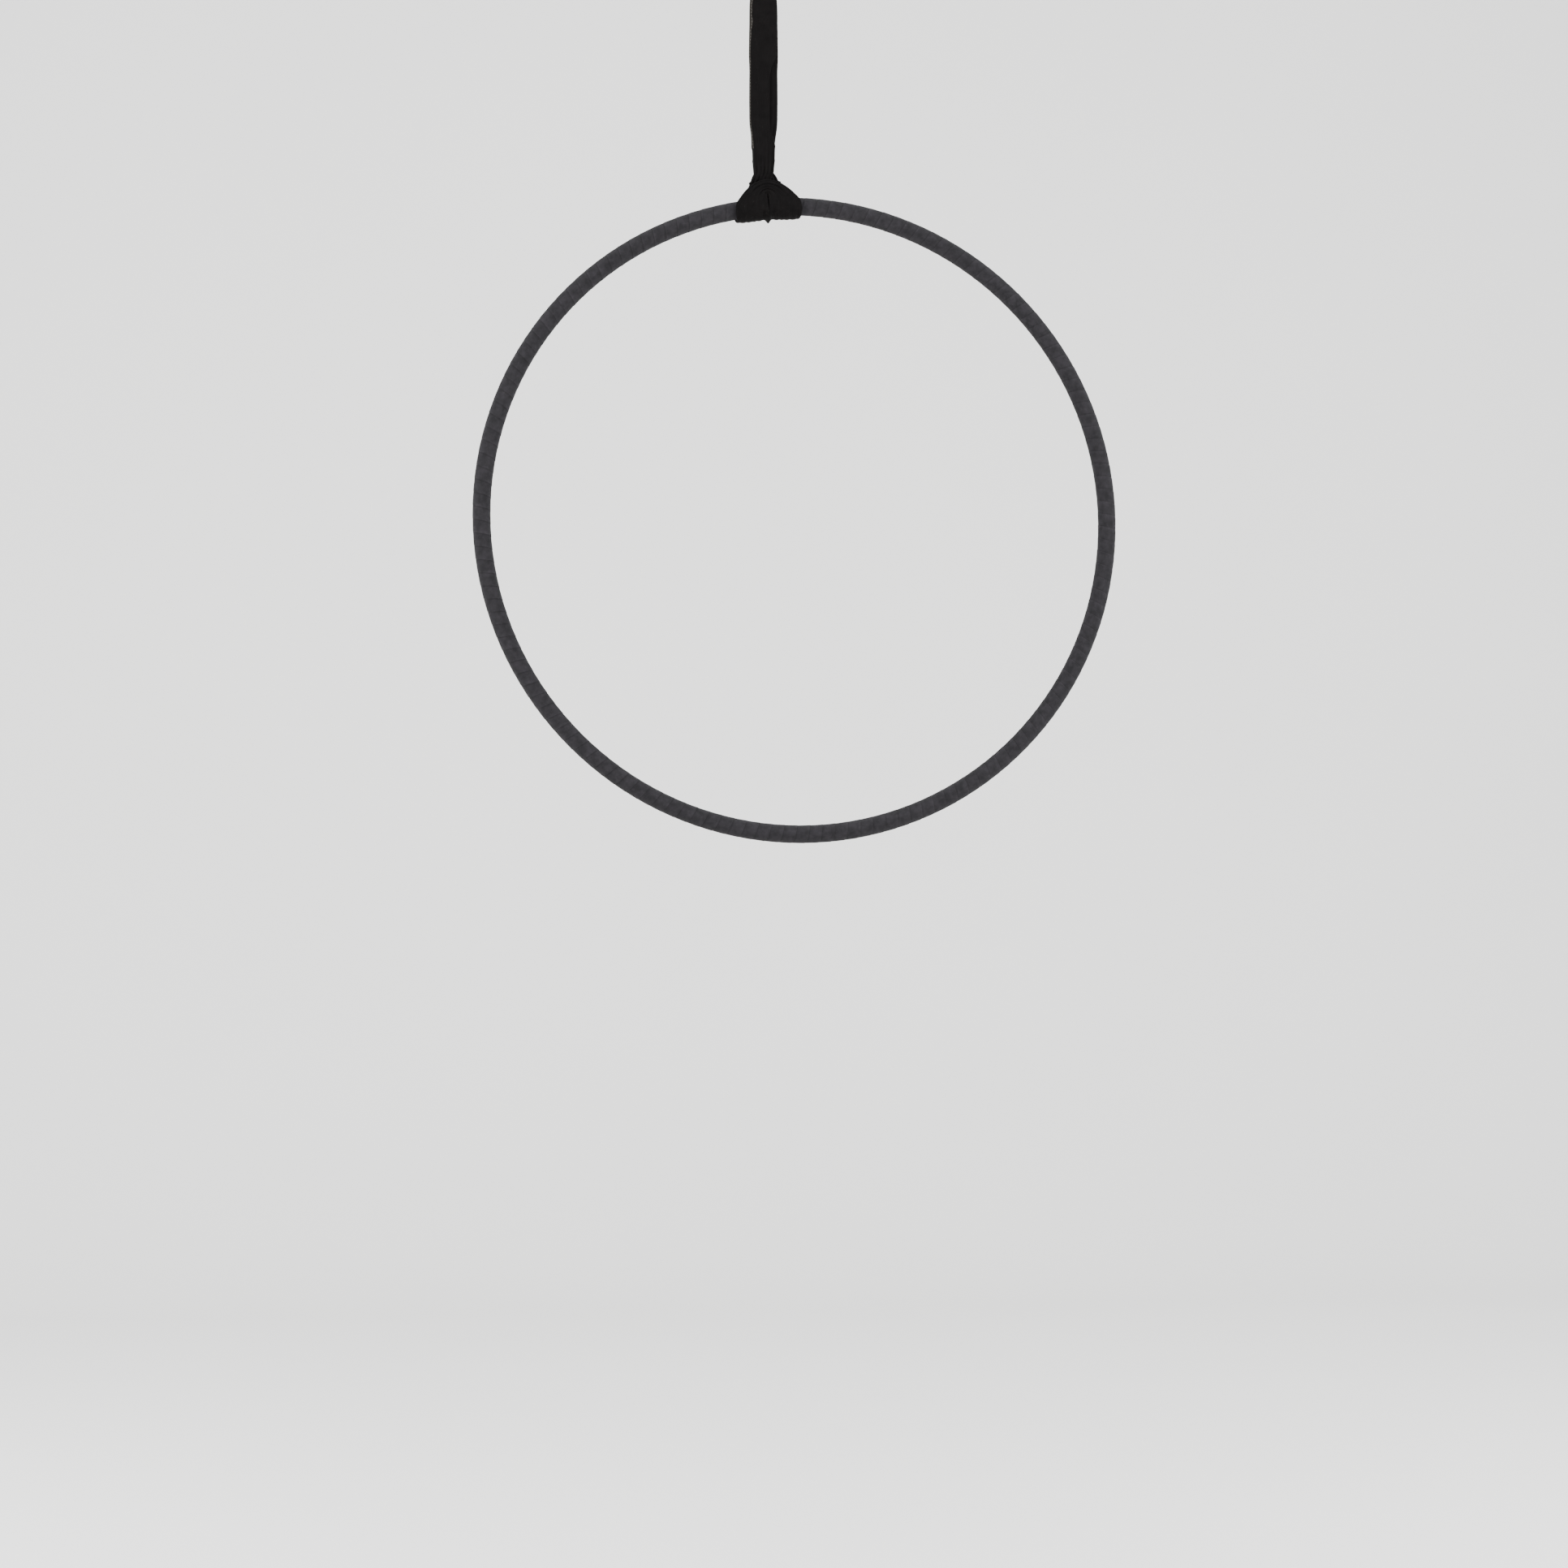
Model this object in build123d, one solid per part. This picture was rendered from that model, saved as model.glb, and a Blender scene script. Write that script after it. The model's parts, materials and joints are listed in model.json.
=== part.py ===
from build123d import *
from math import atan2, cos, degrees, radians, sin, sqrt, tan
import os

# An aerial hoop hung on a short black round sling, a bow shackle and a ball-bearing swivel.
# Millimetres, +Z up. The origin is the centre of the swivel's upper eye, where the hoop is hung.
# The hoop's plane is XZ at rest. The hitch sits a little to one side of the hoop's crown, so the
# hoop's frame is turned by HOOP_LEAN about the sling's throat.

# Hoop: a rolled steel tube with one butt joint under the hitch
HOOP_OUTER_DIAMETER = 950.0
TUBE_DIAMETER = 25.0
TUBE_WALL = 2.5
WELD_GAP = 2.4
SPIGOT_LENGTH = 90.0
SPIGOT_WALL = 2.5
SPIGOT_CLEARANCE = 0.15
PLUG_WELD_DIAMETER = 8.0
PLUG_WELD_FROM_JOINT = 26.0

# Grip tape: two lengths, wound with a half lap, so two layers thick
TAPE_BUILD_UP = 0.4
TAPE_BOND = 0.15
TAPE_END_GAP = 0.6

# Sling: two legs one behind the other, hitched round the tube
LEG_WIDTH = 38.5
LEG_THICKNESS = 6.5
LEG_OFFSET = 1.4
LEG_GAP = 0.4
LEG_CROWN = 1.1
LEG_FLAT_FROM_NECK = 100.0
LEG_FLAT_FROM_BAR = 75.0
LEG_EDGE_ROUND = 2.5
NECK_TO_BAR = 326.0
NECK_WIDTH = 29.5
NECK_THICKNESS = 18.5
NECK_HALF_LENGTH = 12.0
NECK_TOP_WIDTH = 32.3
NECK_TOP_THICKNESS = 17.5
CROWN_WIDTH = 27.0
CROWN_OUTER_WIDTH = 23.0
CROWN_THICKNESS = 7.8
CROWN_EDGE_THICKNESS = 4.2
HOOP_LEAN = 5.75

# Girth hitch: two wraps round the tube, a web over them and the bight across the web's front
NECK_OVER_WRAP = 33.7
WRAP_THICKNESS = 6.0
WRAP_WIDTH = 43.2
WRAP_GAP = 1.2
WRAP_CLEARANCE = 0.25
WEB_EDGE_INSET = 1.2
WEB_FACE_INSET = 1.8
WEB_TOP_WIDTH = 40.0
WEB_TOP_THICKNESS = 21.0
FACE_CROWN = 2.0
END_BULGE = 2.5
BIGHT_RADIUS = 21.0
BIGHT_RISE = 8.0
BIGHT_WIDTH = 13.0
BIGHT_THICKNESS = 9.0
BIGHT_ROUND = 4.0

# Bow shackle, 13 mm bow
BOW_BAR_DIAMETER = 13.0
BOW_INSIDE_WIDTH = 33.0
BOW_INSIDE_LENGTH = 48.0
BOW_ARM_TAPER = 12.0
JAW_WIDTH = 21.0
EAR_THICKNESS = 11.0
EAR_DIAMETER = 31.0
BOLT_DIAMETER = 16.0
BOLT_CLEARANCE = 0.4
BOLT_HEAD_DIAMETER = 25.0
BOLT_HEAD_HEIGHT = 8.0
BOLT_HEAD_ROUND = 2.5
BOLT_END_LENGTH = 4.5
BOLT_END_CHAMFER = 1.2
SPOT_FACE_DIAMETER = 30.0
SHACKLE_NUT_FLATS = 24.0
SHACKLE_NUT_HEIGHT = 10.0
NUT_CHAMFER_SHARE = 0.8
COTTER_DIAMETER = 3.2
COTTER_EYE_RADIUS = 3.2
COTTER_OVER_BOLT = 1.0
COTTER_UNDER_BOLT = 2.0
COTTER_LEG = 13.0
COTTER_SPREAD = 35.0
COTTER_EYE_WIRE = 2.6
COTTER_LEG_WIRE = 2.2
SEAT_GAP = 0.3

# Swivel
UPPER_EYE_HOLE = 22.0
UPPER_EYE_DIAMETER = 40.0
EYE_THICKNESS = 14.0
EYE_EDGE_ROUND = 2.0
HOUSING_DIAMETER = 39.0
HOUSING_WALL = 4.0
HOUSING_DOME_TOP = 13.0
HOUSING_DOME_DROP = 4.0
HOUSING_SHOULDER = 27.0
CAVITY_TOP = 24.0
CAP_TOP = 46.0
CAP_THREAD_LENGTH = 12.0
CAP_FLANGE = 3.0
CAP_CHAMFER = 1.0
THREAD_CLEARANCE = 0.05
RUNNING_CLEARANCE = 0.05
SHAFT_DIAMETER = 14.0
SHAFT_THREAD_DIAMETER = 12.0
BUSH_WALL = 2.5
RACE_THICKNESS = 4.0
RACE_SIDE_GAP = 0.5
BALL_COUNT = 10
BORE_OVER_BALL = 6.2
BALL_SUNK_SHARE = 0.32
GROOVE_CLEARANCE = 0.1
CAGE_GAP = 0.9
POCKET_CLEARANCE = 0.1
SPINDLE_NUT_FLATS = 18.0
SPINDLE_NUT_HEIGHT = 7.0
SPINDLE_OVER_NUT = 0.5
NUT_PIN_DIAMETER = 3.0
NUT_PIN_INSET = 0.5
SEAL_HEIGHT = 2.4
SEAL_WALL = 4.0
SEAL_LIP = 1.2
SEAL_GROOVE_DEPTH = 1.0
SPINDLE_GAP = 1.0
SPINDLE_SHOULDER = 4.0
SPINDLE_SHOULDER_ROUND = 1.2
SPINDLE_WEB_WIDTH = 28.0
LOWER_EYE_DIAMETER = 34.0
LOWER_EYE_DROP = 27.0
LOCK_SCREW_DIAMETER = 4.0
LOCK_SCREW_COUNT = 3
LOCK_SCREW_INSET = 0.4
LOCK_SCREW_KEY = 2.2
LOCK_SCREW_KEY_DEPTH = 1.6

# How far a cutting body runs past what it cuts
CUT_MARGIN = 1.0

# Hoop and tape radii
HOOP_RADIUS = (HOOP_OUTER_DIAMETER - TUBE_DIAMETER) / 2
TUBE_RADIUS = TUBE_DIAMETER / 2
TUBE_BORE_RADIUS = TUBE_RADIUS - TUBE_WALL
SPIGOT_RADIUS = TUBE_BORE_RADIUS - SPIGOT_CLEARANCE
TAPE_INNER = TUBE_RADIUS + TAPE_BOND
TAPE_OUTER = TAPE_INNER + TAPE_BUILD_UP
WRAP_INNER = TAPE_OUTER + WRAP_CLEARANCE
WRAP_OUTER = WRAP_INNER + WRAP_THICKNESS
HITCH_HEIGHT = WRAP_OUTER + NECK_OVER_WRAP

# The bearing fills the housing's bore
CAVITY_RADIUS = HOUSING_DIAMETER / 2 - HOUSING_WALL
CAGE_INNER = SHAFT_DIAMETER / 2 + RACE_SIDE_GAP
CAGE_OUTER = CAVITY_RADIUS - 2 * RACE_SIDE_GAP
BALL_PITCH_RADIUS = (CAGE_INNER + CAGE_OUTER) / 2
BALL_RADIUS = CAVITY_RADIUS / BORE_OVER_BALL
BALL_ABOVE_RACE = BALL_RADIUS * (1 - BALL_SUNK_SHARE)

# Swivel and shackle heights, downwards from the upper eye
CAP_FLANGE_TOP = -(CAP_TOP + CAP_THREAD_LENGTH)
CAP_FLANGE_BOTTOM = CAP_FLANGE_TOP - CAP_FLANGE
LOWER_RACE_TOP = -(CAP_TOP - RACE_THICKNESS)
BALL_CENTRE_Z = LOWER_RACE_TOP + BALL_ABOVE_RACE
LOCK_SCREW_Z = CAP_FLANGE_TOP + CAP_THREAD_LENGTH / 2
UPPER_RACE_BOTTOM = BALL_CENTRE_Z + BALL_ABOVE_RACE
UPPER_RACE_TOP = UPPER_RACE_BOTTOM + RACE_THICKNESS
NUT_PIN_Z = UPPER_RACE_TOP + SPINDLE_NUT_HEIGHT / 2
SPINDLE_TOP = UPPER_RACE_TOP + SPINDLE_NUT_HEIGHT + SPINDLE_OVER_NUT
SHOULDER_TOP = CAP_FLANGE_BOTTOM - SPINDLE_GAP
BOLT_Z = CAP_FLANGE_BOTTOM - LOWER_EYE_DROP
BOW_RADIUS = (BOW_INSIDE_WIDTH + BOW_BAR_DIAMETER) / 2
BAR_Z = BOLT_Z - BOLT_DIAMETER / 2 - BOW_INSIDE_LENGTH - BOW_BAR_DIAMETER / 2
BOW_CENTRE_Z = BAR_Z + BOW_RADIUS

# Along the shackle's bolt, from the middle
EAR_FACE = JAW_WIDTH / 2 + EAR_THICKNESS
BOLT_HEAD_FACE = EAR_FACE + SEAT_GAP
NUT_FACE = EAR_FACE + SEAT_GAP
COTTER_X = NUT_FACE + SHACKLE_NUT_HEIGHT + SEAT_GAP + COTTER_DIAMETER / 2
BOLT_END = COTTER_X + BOLT_END_LENGTH

# Sling and hoop places
NECK_Z = BAR_Z - NECK_TO_BAR
LEAN = radians(HOOP_LEAN)
HOOP_CENTRE = (
    (HITCH_HEIGHT + HOOP_RADIUS) * sin(LEAN),
    0.0,
    NECK_Z - (HITCH_HEIGHT + HOOP_RADIUS) * cos(LEAN),
)
HOOP_FRAME = Location(HOOP_CENTRE, (0, -HOOP_LEAN, 0))


def along_hoop(length):
    """The angle that a length along the tube's centreline takes."""
    return degrees(length / HOOP_RADIUS)


def hoop_band(inner, outer, start, sweep):
    """A tube or sleeve along the hoop, in the hoop's frame, from an angle counted from the hitch."""
    plane = Plane(origin=(0, 0, HOOP_RADIUS), x_dir=(0, 1, 0), z_dir=(1, 0, 0))
    section = plane * Circle(outer)
    if inner:
        section -= plane * Circle(inner)
    return revolve(Rot(0, start, 0) * section, Axis.Y, sweep)


def disc(radius, top, bottom, hole=0.0):
    """A round piece on the swivel's axis, with an optional hole."""
    body = Pos(0, 0, bottom) * extrude(Circle(radius), top - bottom)
    if hole:
        body -= Pos(0, 0, bottom - CUT_MARGIN) * extrude(Circle(hole), top - bottom + 2 * CUT_MARGIN)
    return body


def rod(radius, start, end):
    """A round bar between two points."""
    line = Vector(*end) - Vector(*start)
    return extrude(Plane(origin=start, z_dir=line) * Circle(radius), line.length)


def band_face(plane, half_inner, half_outer, inner_mid, inner_edge, outer_mid, outer_edge, end_bulge):
    """A flattened section with four arcs: an inner face, an outer face and two rounded ends.
    The plane's x runs across the band, and its y from the inner to the outer face."""
    a = (-half_inner, inner_edge)
    b = (half_inner, inner_edge)
    c = (half_outer, outer_edge)
    d = (-half_outer, outer_edge)
    reach = max(half_inner, half_outer) + end_bulge
    middle = (inner_edge + outer_edge) / 2
    arcs = [
        ThreePointArc(a, (0, inner_mid), b),
        ThreePointArc(b, (reach, middle), c),
        ThreePointArc(c, (0, outer_mid), d),
        ThreePointArc(d, (-reach, middle), a),
    ]
    return plane * make_face(Wire(arcs))


# Hoop

PLUG_PLACES = [(side * PLUG_WELD_FROM_JOINT, way) for side in (-1, 1) for way in (-1, 1)]


def plug_drill(along, way):
    """The drill that cuts one plug weld's hole through the tube's wall down to the spigot."""
    start = (0, 0, HOOP_RADIUS)
    end = (0, 0, HOOP_RADIUS + way * (TUBE_RADIUS + CUT_MARGIN))
    return Rot(0, along_hoop(along), 0) * rod(PLUG_WELD_DIAMETER / 2, start, end)


def hoop_tube():
    gap = along_hoop(WELD_GAP)
    tube = hoop_band(TUBE_BORE_RADIUS, TUBE_RADIUS, gap / 2, 360 - gap)
    return HOOP_FRAME * (tube - [plug_drill(along, way) for along, way in PLUG_PLACES])


def joint_spigot():
    sweep = along_hoop(SPIGOT_LENGTH)
    return HOOP_FRAME * hoop_band(SPIGOT_RADIUS - SPIGOT_WALL, SPIGOT_RADIUS, -sweep / 2, sweep)


def joint_weld():
    sweep = along_hoop(WELD_GAP)
    return HOOP_FRAME * hoop_band(SPIGOT_RADIUS, TUBE_RADIUS, -sweep / 2, sweep)


def plug_welds():
    reach = along_hoop(PLUG_WELD_FROM_JOINT + PLUG_WELD_DIAMETER)
    wall = hoop_band(SPIGOT_RADIUS, TUBE_RADIUS, -reach, 2 * reach)
    plugs = []
    for along, way in PLUG_PLACES:
        plugs.append((HOOP_FRAME * (wall & plug_drill(along, way))).solid())
    return Compound(plugs)


def grip_tape(side):
    """One length of tape, from the hoop's foot up to its crown, under the hitch."""
    end = along_hoop(TAPE_END_GAP) / 2
    start = end if side > 0 else 180 + end
    return HOOP_FRAME * hoop_band(TAPE_INNER, TAPE_OUTER, start, 180 - 2 * end)


# Sling

WEB_STEPS = [
    # share of the way up the web, and how much of its flare in width and in thickness is left there
    (0.0, 1.0, 1.0),
    (0.23, 0.91, 0.92),
    (0.40, 0.64, 0.75),
    (0.57, 0.40, 0.52),
    (0.77, 0.20, 0.25),
    (1.0, 0.0, 0.0),
]


def bundle_face(plane, half_width, half_thickness):
    """The oval section of the two legs pressed together."""
    edge = half_thickness - FACE_CROWN
    half = half_width - END_BULGE
    return band_face(plane, half, half, -half_thickness, -edge, half_thickness, edge, END_BULGE)


def hitch_plane(height):
    """A plane across the hitch at a height over the tube's centreline, in the hoop's frame."""
    return Plane(origin=(0, 0, HOOP_RADIUS + height), x_dir=(1, 0, 0), z_dir=(0, 0, 1))


def web_levels():
    """Height over the tube's centreline, half width and half thickness of each section of the web."""
    foot = TUBE_RADIUS / 2
    top = HITCH_HEIGHT - NECK_HALF_LENGTH
    top_width = WEB_TOP_WIDTH / 2
    top_thickness = WEB_TOP_THICKNESS / 2
    width_flare = WRAP_WIDTH + WRAP_GAP / 2 - WEB_EDGE_INSET - top_width
    thickness_flare = sqrt(WRAP_OUTER**2 - foot**2) - WEB_FACE_INSET - top_thickness
    levels = []
    for share, width_left, thickness_left in WEB_STEPS:
        half_width = top_width + width_left * width_flare
        half_thickness = top_thickness + thickness_left * thickness_flare
        levels.append((foot + share * (top - foot), half_width, half_thickness))
    return levels


def sling_bight(levels):
    """The sling's end across the front of the web: half a turn that lies on its slope."""
    foot_height, foot_width, foot_thickness = levels[0]
    top_height, top_width, top_thickness = levels[-1]
    slope = atan2(foot_thickness - top_thickness, top_height - foot_height)
    foot = Plane(
        origin=(0, -WRAP_OUTER + BIGHT_THICKNESS / 4, HOOP_RADIUS + foot_height + BIGHT_RISE),
        x_dir=(1, 0, 0),
        z_dir=(0, -cos(slope), sin(slope)),
    )
    roll = RectangleRounded(BIGHT_WIDTH, BIGHT_THICKNESS, BIGHT_ROUND)
    return revolve(foot * Pos(BIGHT_RADIUS, 0, 0) * Rot(90, 0, 0) * roll, Axis(foot.origin, foot.z_dir), 180)


def sling_hitch():
    """Two wraps side by side round the tube, the web that gathers them and the bight across its front."""
    half_gap = along_hoop(WRAP_GAP) / 2
    width = along_hoop(WRAP_WIDTH)
    levels = web_levels()
    web = loft([bundle_face(hitch_plane(height), *half_sizes) for height, *half_sizes in levels])
    left = hoop_band(WRAP_INNER, WRAP_OUTER, -half_gap - width, width)
    right = hoop_band(WRAP_INNER, WRAP_OUTER, half_gap, width)
    reach = half_gap + width + along_hoop(CUT_MARGIN)
    bore = hoop_band(0, WRAP_INNER, -reach, 2 * reach)
    return HOOP_FRAME * ((web + sling_bight(levels) - bore) + left + right)


def sling_neck():
    """The short stretch that bends, from the hitch's top to the legs' ends."""
    height, *half_sizes = web_levels()[-1]
    top = Plane((0, 0, NECK_Z + NECK_HALF_LENGTH))
    sections = [
        HOOP_FRAME * bundle_face(hitch_plane(height), *half_sizes),
        bundle_face(Plane((0, 0, NECK_Z)), NECK_WIDTH / 2, NECK_THICKNESS / 2),
        bundle_face(top, NECK_TOP_WIDTH / 2, NECK_TOP_THICKNESS / 2),
    ]
    return loft(sections)


LEG_FOOT_STEPS = [
    # share of the way from the neck to the flat stretch, and how much of the change in section is done
    (0.0, 0.0),
    (0.25, 0.15),
    (0.64, 0.78),
    (1.0, 1.0),
]
LEG_HEAD_STEPS = [
    # the same, from the flat stretch to the bar
    (0.0, 0.0),
    (0.44, 0.24),
    (0.79, 0.70),
    (1.0, 1.0),
]


def leg_sections():
    """Shift, half inner and outer width, inner middle and edge, outer middle and edge, and the ends' bulge,
    where a leg leaves the neck, where it lies flat and where it meets the crown over the bar."""
    gap = LEG_GAP / 2
    foot_half = NECK_TOP_WIDTH / 2 - LEG_EDGE_ROUND
    foot_face = NECK_TOP_THICKNESS / 2
    foot = (0, foot_half, foot_half, gap, LEG_GAP, foot_face, foot_face - LEG_CROWN, LEG_EDGE_ROUND)
    flat_half = LEG_WIDTH / 2 - LEG_EDGE_ROUND
    face = gap + LEG_THICKNESS
    flat = (LEG_OFFSET, flat_half, flat_half, gap, LEG_GAP, face, face - LEG_CROWN, LEG_EDGE_ROUND)
    inside = BOW_INSIDE_WIDTH / 2 - SEAT_GAP
    crown_half = CROWN_WIDTH / 2
    middle = BOW_RADIUS - inside
    edge = BOW_RADIUS - sqrt(inside**2 - crown_half**2)
    outer_middle = middle + CROWN_THICKNESS
    outer_edge = edge + CROWN_EDGE_THICKNESS
    crown = (0, crown_half, CROWN_OUTER_WIDTH / 2, middle, edge, outer_middle, outer_edge, LEG_EDGE_ROUND / 3)
    return foot, flat, crown


def leg_faces(side):
    """One leg's sections, from the neck up to the bar. side is -1 for the front leg and 1 for the rear."""
    foot, flat, crown = leg_sections()
    flat_start = NECK_Z + LEG_FLAT_FROM_NECK
    flat_end = BAR_Z - LEG_FLAT_FROM_BAR
    runs = [
        (NECK_Z + NECK_HALF_LENGTH, flat_start, foot, flat, LEG_FOOT_STEPS),
        (flat_end, BAR_Z, flat, crown, LEG_HEAD_STEPS),
    ]
    faces = []
    for start, end, first, last, steps in runs:
        for way, change in steps:
            shift, *sizes = [a + (b - a) * change for a, b in zip(first, last)]
            height = start + (end - start) * way
            plane = Plane(origin=(side * shift, 0, height), x_dir=(side, 0, 0), z_dir=(0, 0, 1))
            faces.append(band_face(plane, *sizes))
    return faces


def sling_loop():
    """The two legs and the crown that passes over the shackle's bar."""
    front = loft(leg_faces(-1))
    rear = loft(leg_faces(1))
    crown = revolve(leg_faces(1)[-1], Axis((0, 0, BAR_Z), (1, 0, 0)), 180)
    return front + crown + rear


# Shackle


def bow_arm_end(side):
    """Where one arm leaves the bow's arc, and where it reaches the bolt's height."""
    taper = radians(BOW_ARM_TAPER)
    x = BOW_RADIUS * cos(taper)
    z = BOW_CENTRE_Z + BOW_RADIUS * sin(taper)
    rise = BOLT_Z - z
    return (side * x, 0, z), (side * (x - rise * tan(taper)), 0, BOLT_Z)


def shackle_bow():
    bar = BOW_BAR_DIAMETER / 2
    section = Plane(origin=(BOW_RADIUS, 0, BOW_CENTRE_Z), x_dir=(1, 0, 0), z_dir=(0, 0, -1)) * Circle(bar)
    axis = Axis((0, 0, BOW_CENTRE_Z), (0, 1, 0))
    section = section.rotate(axis, -BOW_ARM_TAPER)
    bow = revolve(section, axis, 180 + 2 * BOW_ARM_TAPER)
    for side in (-1, 1):
        start, end = bow_arm_end(side)
        bow += rod(bar, start, end)
        bow += rod(EAR_DIAMETER / 2, (side * JAW_WIDTH / 2, 0, BOLT_Z), (side * EAR_FACE, 0, BOLT_Z))
        spot_end = (side * (EAR_FACE + EAR_DIAMETER), 0, BOLT_Z)
        bow -= rod(SPOT_FACE_DIAMETER / 2, (side * EAR_FACE, 0, BOLT_Z), spot_end)
    jaw = Pos(0, 0, BOLT_Z) * Box(JAW_WIDTH, EAR_DIAMETER + CUT_MARGIN, EAR_DIAMETER)
    reach = EAR_FACE + CUT_MARGIN
    hole = rod(BOLT_DIAMETER / 2 + BOLT_CLEARANCE, (-reach, 0, BOLT_Z), (reach, 0, BOLT_Z))
    return bow - jaw - hole


def hexagon_bar(flats, start, height, direction, bore):
    """A hexagon nut with chamfered corners and a plain bore."""
    plane = Plane(origin=start, z_dir=direction)
    nut = extrude(plane * RegularPolygon(flats / 2, 6, major_radius=False), height)
    corner = flats / 2 / cos(radians(30))
    cone = extrude(plane * Circle(corner), height)
    cone = chamfer(cone.edges().filter_by(GeomType.CIRCLE), (corner - flats / 2) * NUT_CHAMFER_SHARE)
    return (nut & cone) - extrude(plane * Circle(bore), height)


def shackle_bolt():
    bolt = rod(BOLT_DIAMETER / 2, (-BOLT_HEAD_FACE, 0, BOLT_Z), (BOLT_END, 0, BOLT_Z))
    bolt = chamfer(bolt.edges().filter_by(GeomType.CIRCLE).sort_by(Axis.X)[-1], BOLT_END_CHAMFER)
    head_start = (-BOLT_HEAD_FACE - BOLT_HEAD_HEIGHT, 0, BOLT_Z)
    head = rod(BOLT_HEAD_DIAMETER / 2, head_start, (-BOLT_HEAD_FACE, 0, BOLT_Z))
    head = fillet(head.edges().filter_by(GeomType.CIRCLE).sort_by(Axis.X)[0], BOLT_HEAD_ROUND)
    hole = Pos(COTTER_X, 0, BOLT_Z) * Cylinder(COTTER_DIAMETER / 2 + SEAT_GAP / 2, BOLT_DIAMETER + CUT_MARGIN)
    return bolt + head - hole


def shackle_nut():
    bore = BOLT_DIAMETER / 2 + THREAD_CLEARANCE
    return hexagon_bar(SHACKLE_NUT_FLATS, (NUT_FACE, 0, BOLT_Z), SHACKLE_NUT_HEIGHT, (1, 0, 0), bore)


def shackle_cotter():
    """A split pin: its eye above the bolt and its two legs spread below."""
    wire = COTTER_DIAMETER / 4
    top = BOLT_Z + BOLT_DIAMETER / 2 + COTTER_OVER_BOLT
    low = BOLT_Z - BOLT_DIAMETER / 2 - COTTER_UNDER_BOLT
    pin = rod(COTTER_DIAMETER / 2, (COTTER_X, 0, low), (COTTER_X, 0, top))
    eye = Rot(0, 90, 0) * Torus(COTTER_EYE_RADIUS, COTTER_EYE_WIRE / 2)
    pin += Pos(COTTER_X, 0, top + COTTER_EYE_RADIUS) * eye
    spread = radians(COTTER_SPREAD)
    for side in (-1, 1):
        start = (COTTER_X, side * wire, low + wire)
        end = (COTTER_X, side * (wire + COTTER_LEG * sin(spread)), low - COTTER_LEG * cos(spread))
        pin += rod(COTTER_LEG_WIRE / 2, start, end)
    return pin


# Swivel


def eye_plate(diameter, hole, centre_z, across):
    """A round eye with rounded edges, its hole along the axis across."""
    plane = Plane(origin=(0, 0, centre_z), z_dir=across)
    plate = extrude(plane * Circle(diameter / 2), EYE_THICKNESS / 2, both=True)
    plate = fillet(plate.edges().filter_by(GeomType.CIRCLE), EYE_EDGE_ROUND)
    return plate, extrude(plane * Circle(hole / 2), EYE_THICKNESS, both=True)


def swivel_housing():
    """The upper eye, the domed body, the bearing's cavity and the holes for the lock screws."""
    plate, hole = eye_plate(UPPER_EYE_DIAMETER, UPPER_EYE_HOLE, 0, (0, 1, 0))
    radius = HOUSING_DIAMETER / 2
    neck = (EYE_THICKNESS / 2, -HOUSING_DOME_TOP)
    dome = (radius * 0.8, -HOUSING_DOME_TOP - HOUSING_DOME_DROP)
    shoulder = (radius, -HOUSING_SHOULDER)
    sides = Polyline(shoulder, (radius, CAP_FLANGE_TOP), (0, CAP_FLANGE_TOP), (0, -HOUSING_DOME_TOP), neck)
    outline = [*sides.edges(), ThreePointArc(neck, dome, shoulder)]
    housing = revolve(Plane.XZ * make_face(outline), Axis.Z) + plate
    housing -= hole
    housing -= disc(CAVITY_RADIUS, -CAVITY_TOP, CAP_FLANGE_TOP - CUT_MARGIN)
    screw_hole = LOCK_SCREW_DIAMETER / 2 + THREAD_CLEARANCE
    for place in lock_screw_places():
        housing -= lock_screw(place, screw_hole, HOUSING_DIAMETER / 2 + CUT_MARGIN)
    return housing


def seal_radius():
    return SHAFT_DIAMETER / 2 + SEAL_WALL


def swivel_end_cap():
    """The threaded ring that closes the housing, bored for the bush and the seal."""
    cap = disc(CAVITY_RADIUS - THREAD_CLEARANCE, -CAP_TOP, CAP_FLANGE_TOP)
    flange = disc(HOUSING_DIAMETER / 2, CAP_FLANGE_TOP, CAP_FLANGE_BOTTOM)
    cap += chamfer(flange.edges().filter_by(GeomType.CIRCLE).sort_by(Axis.Z)[0], CAP_CHAMFER)
    bush_seat = SHAFT_DIAMETER / 2 + RUNNING_CLEARANCE + BUSH_WALL
    cap -= disc(bush_seat, -CAP_TOP + CUT_MARGIN, CAP_FLANGE_BOTTOM - CUT_MARGIN)
    cap -= disc(seal_radius(), CAP_FLANGE_BOTTOM + SEAL_HEIGHT, CAP_FLANGE_BOTTOM - CUT_MARGIN)
    return cap


def spindle_bush():
    bore = SHAFT_DIAMETER / 2 + RUNNING_CLEARANCE
    return disc(bore + BUSH_WALL, -CAP_TOP, CAP_FLANGE_BOTTOM + SEAL_HEIGHT, bore)


def dust_seal():
    """A ring in the cap's counterbore with a lip groove on its underside."""
    bore = SHAFT_DIAMETER / 2 + RUNNING_CLEARANCE
    ring = disc(seal_radius(), CAP_FLANGE_BOTTOM + SEAL_HEIGHT, CAP_FLANGE_BOTTOM, bore)
    groove_top = CAP_FLANGE_BOTTOM + SEAL_GROOVE_DEPTH
    groove = disc(seal_radius() - SEAL_LIP, groove_top, CAP_FLANGE_BOTTOM - CUT_MARGIN, bore + SEAL_LIP)
    return ring - groove


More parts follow.
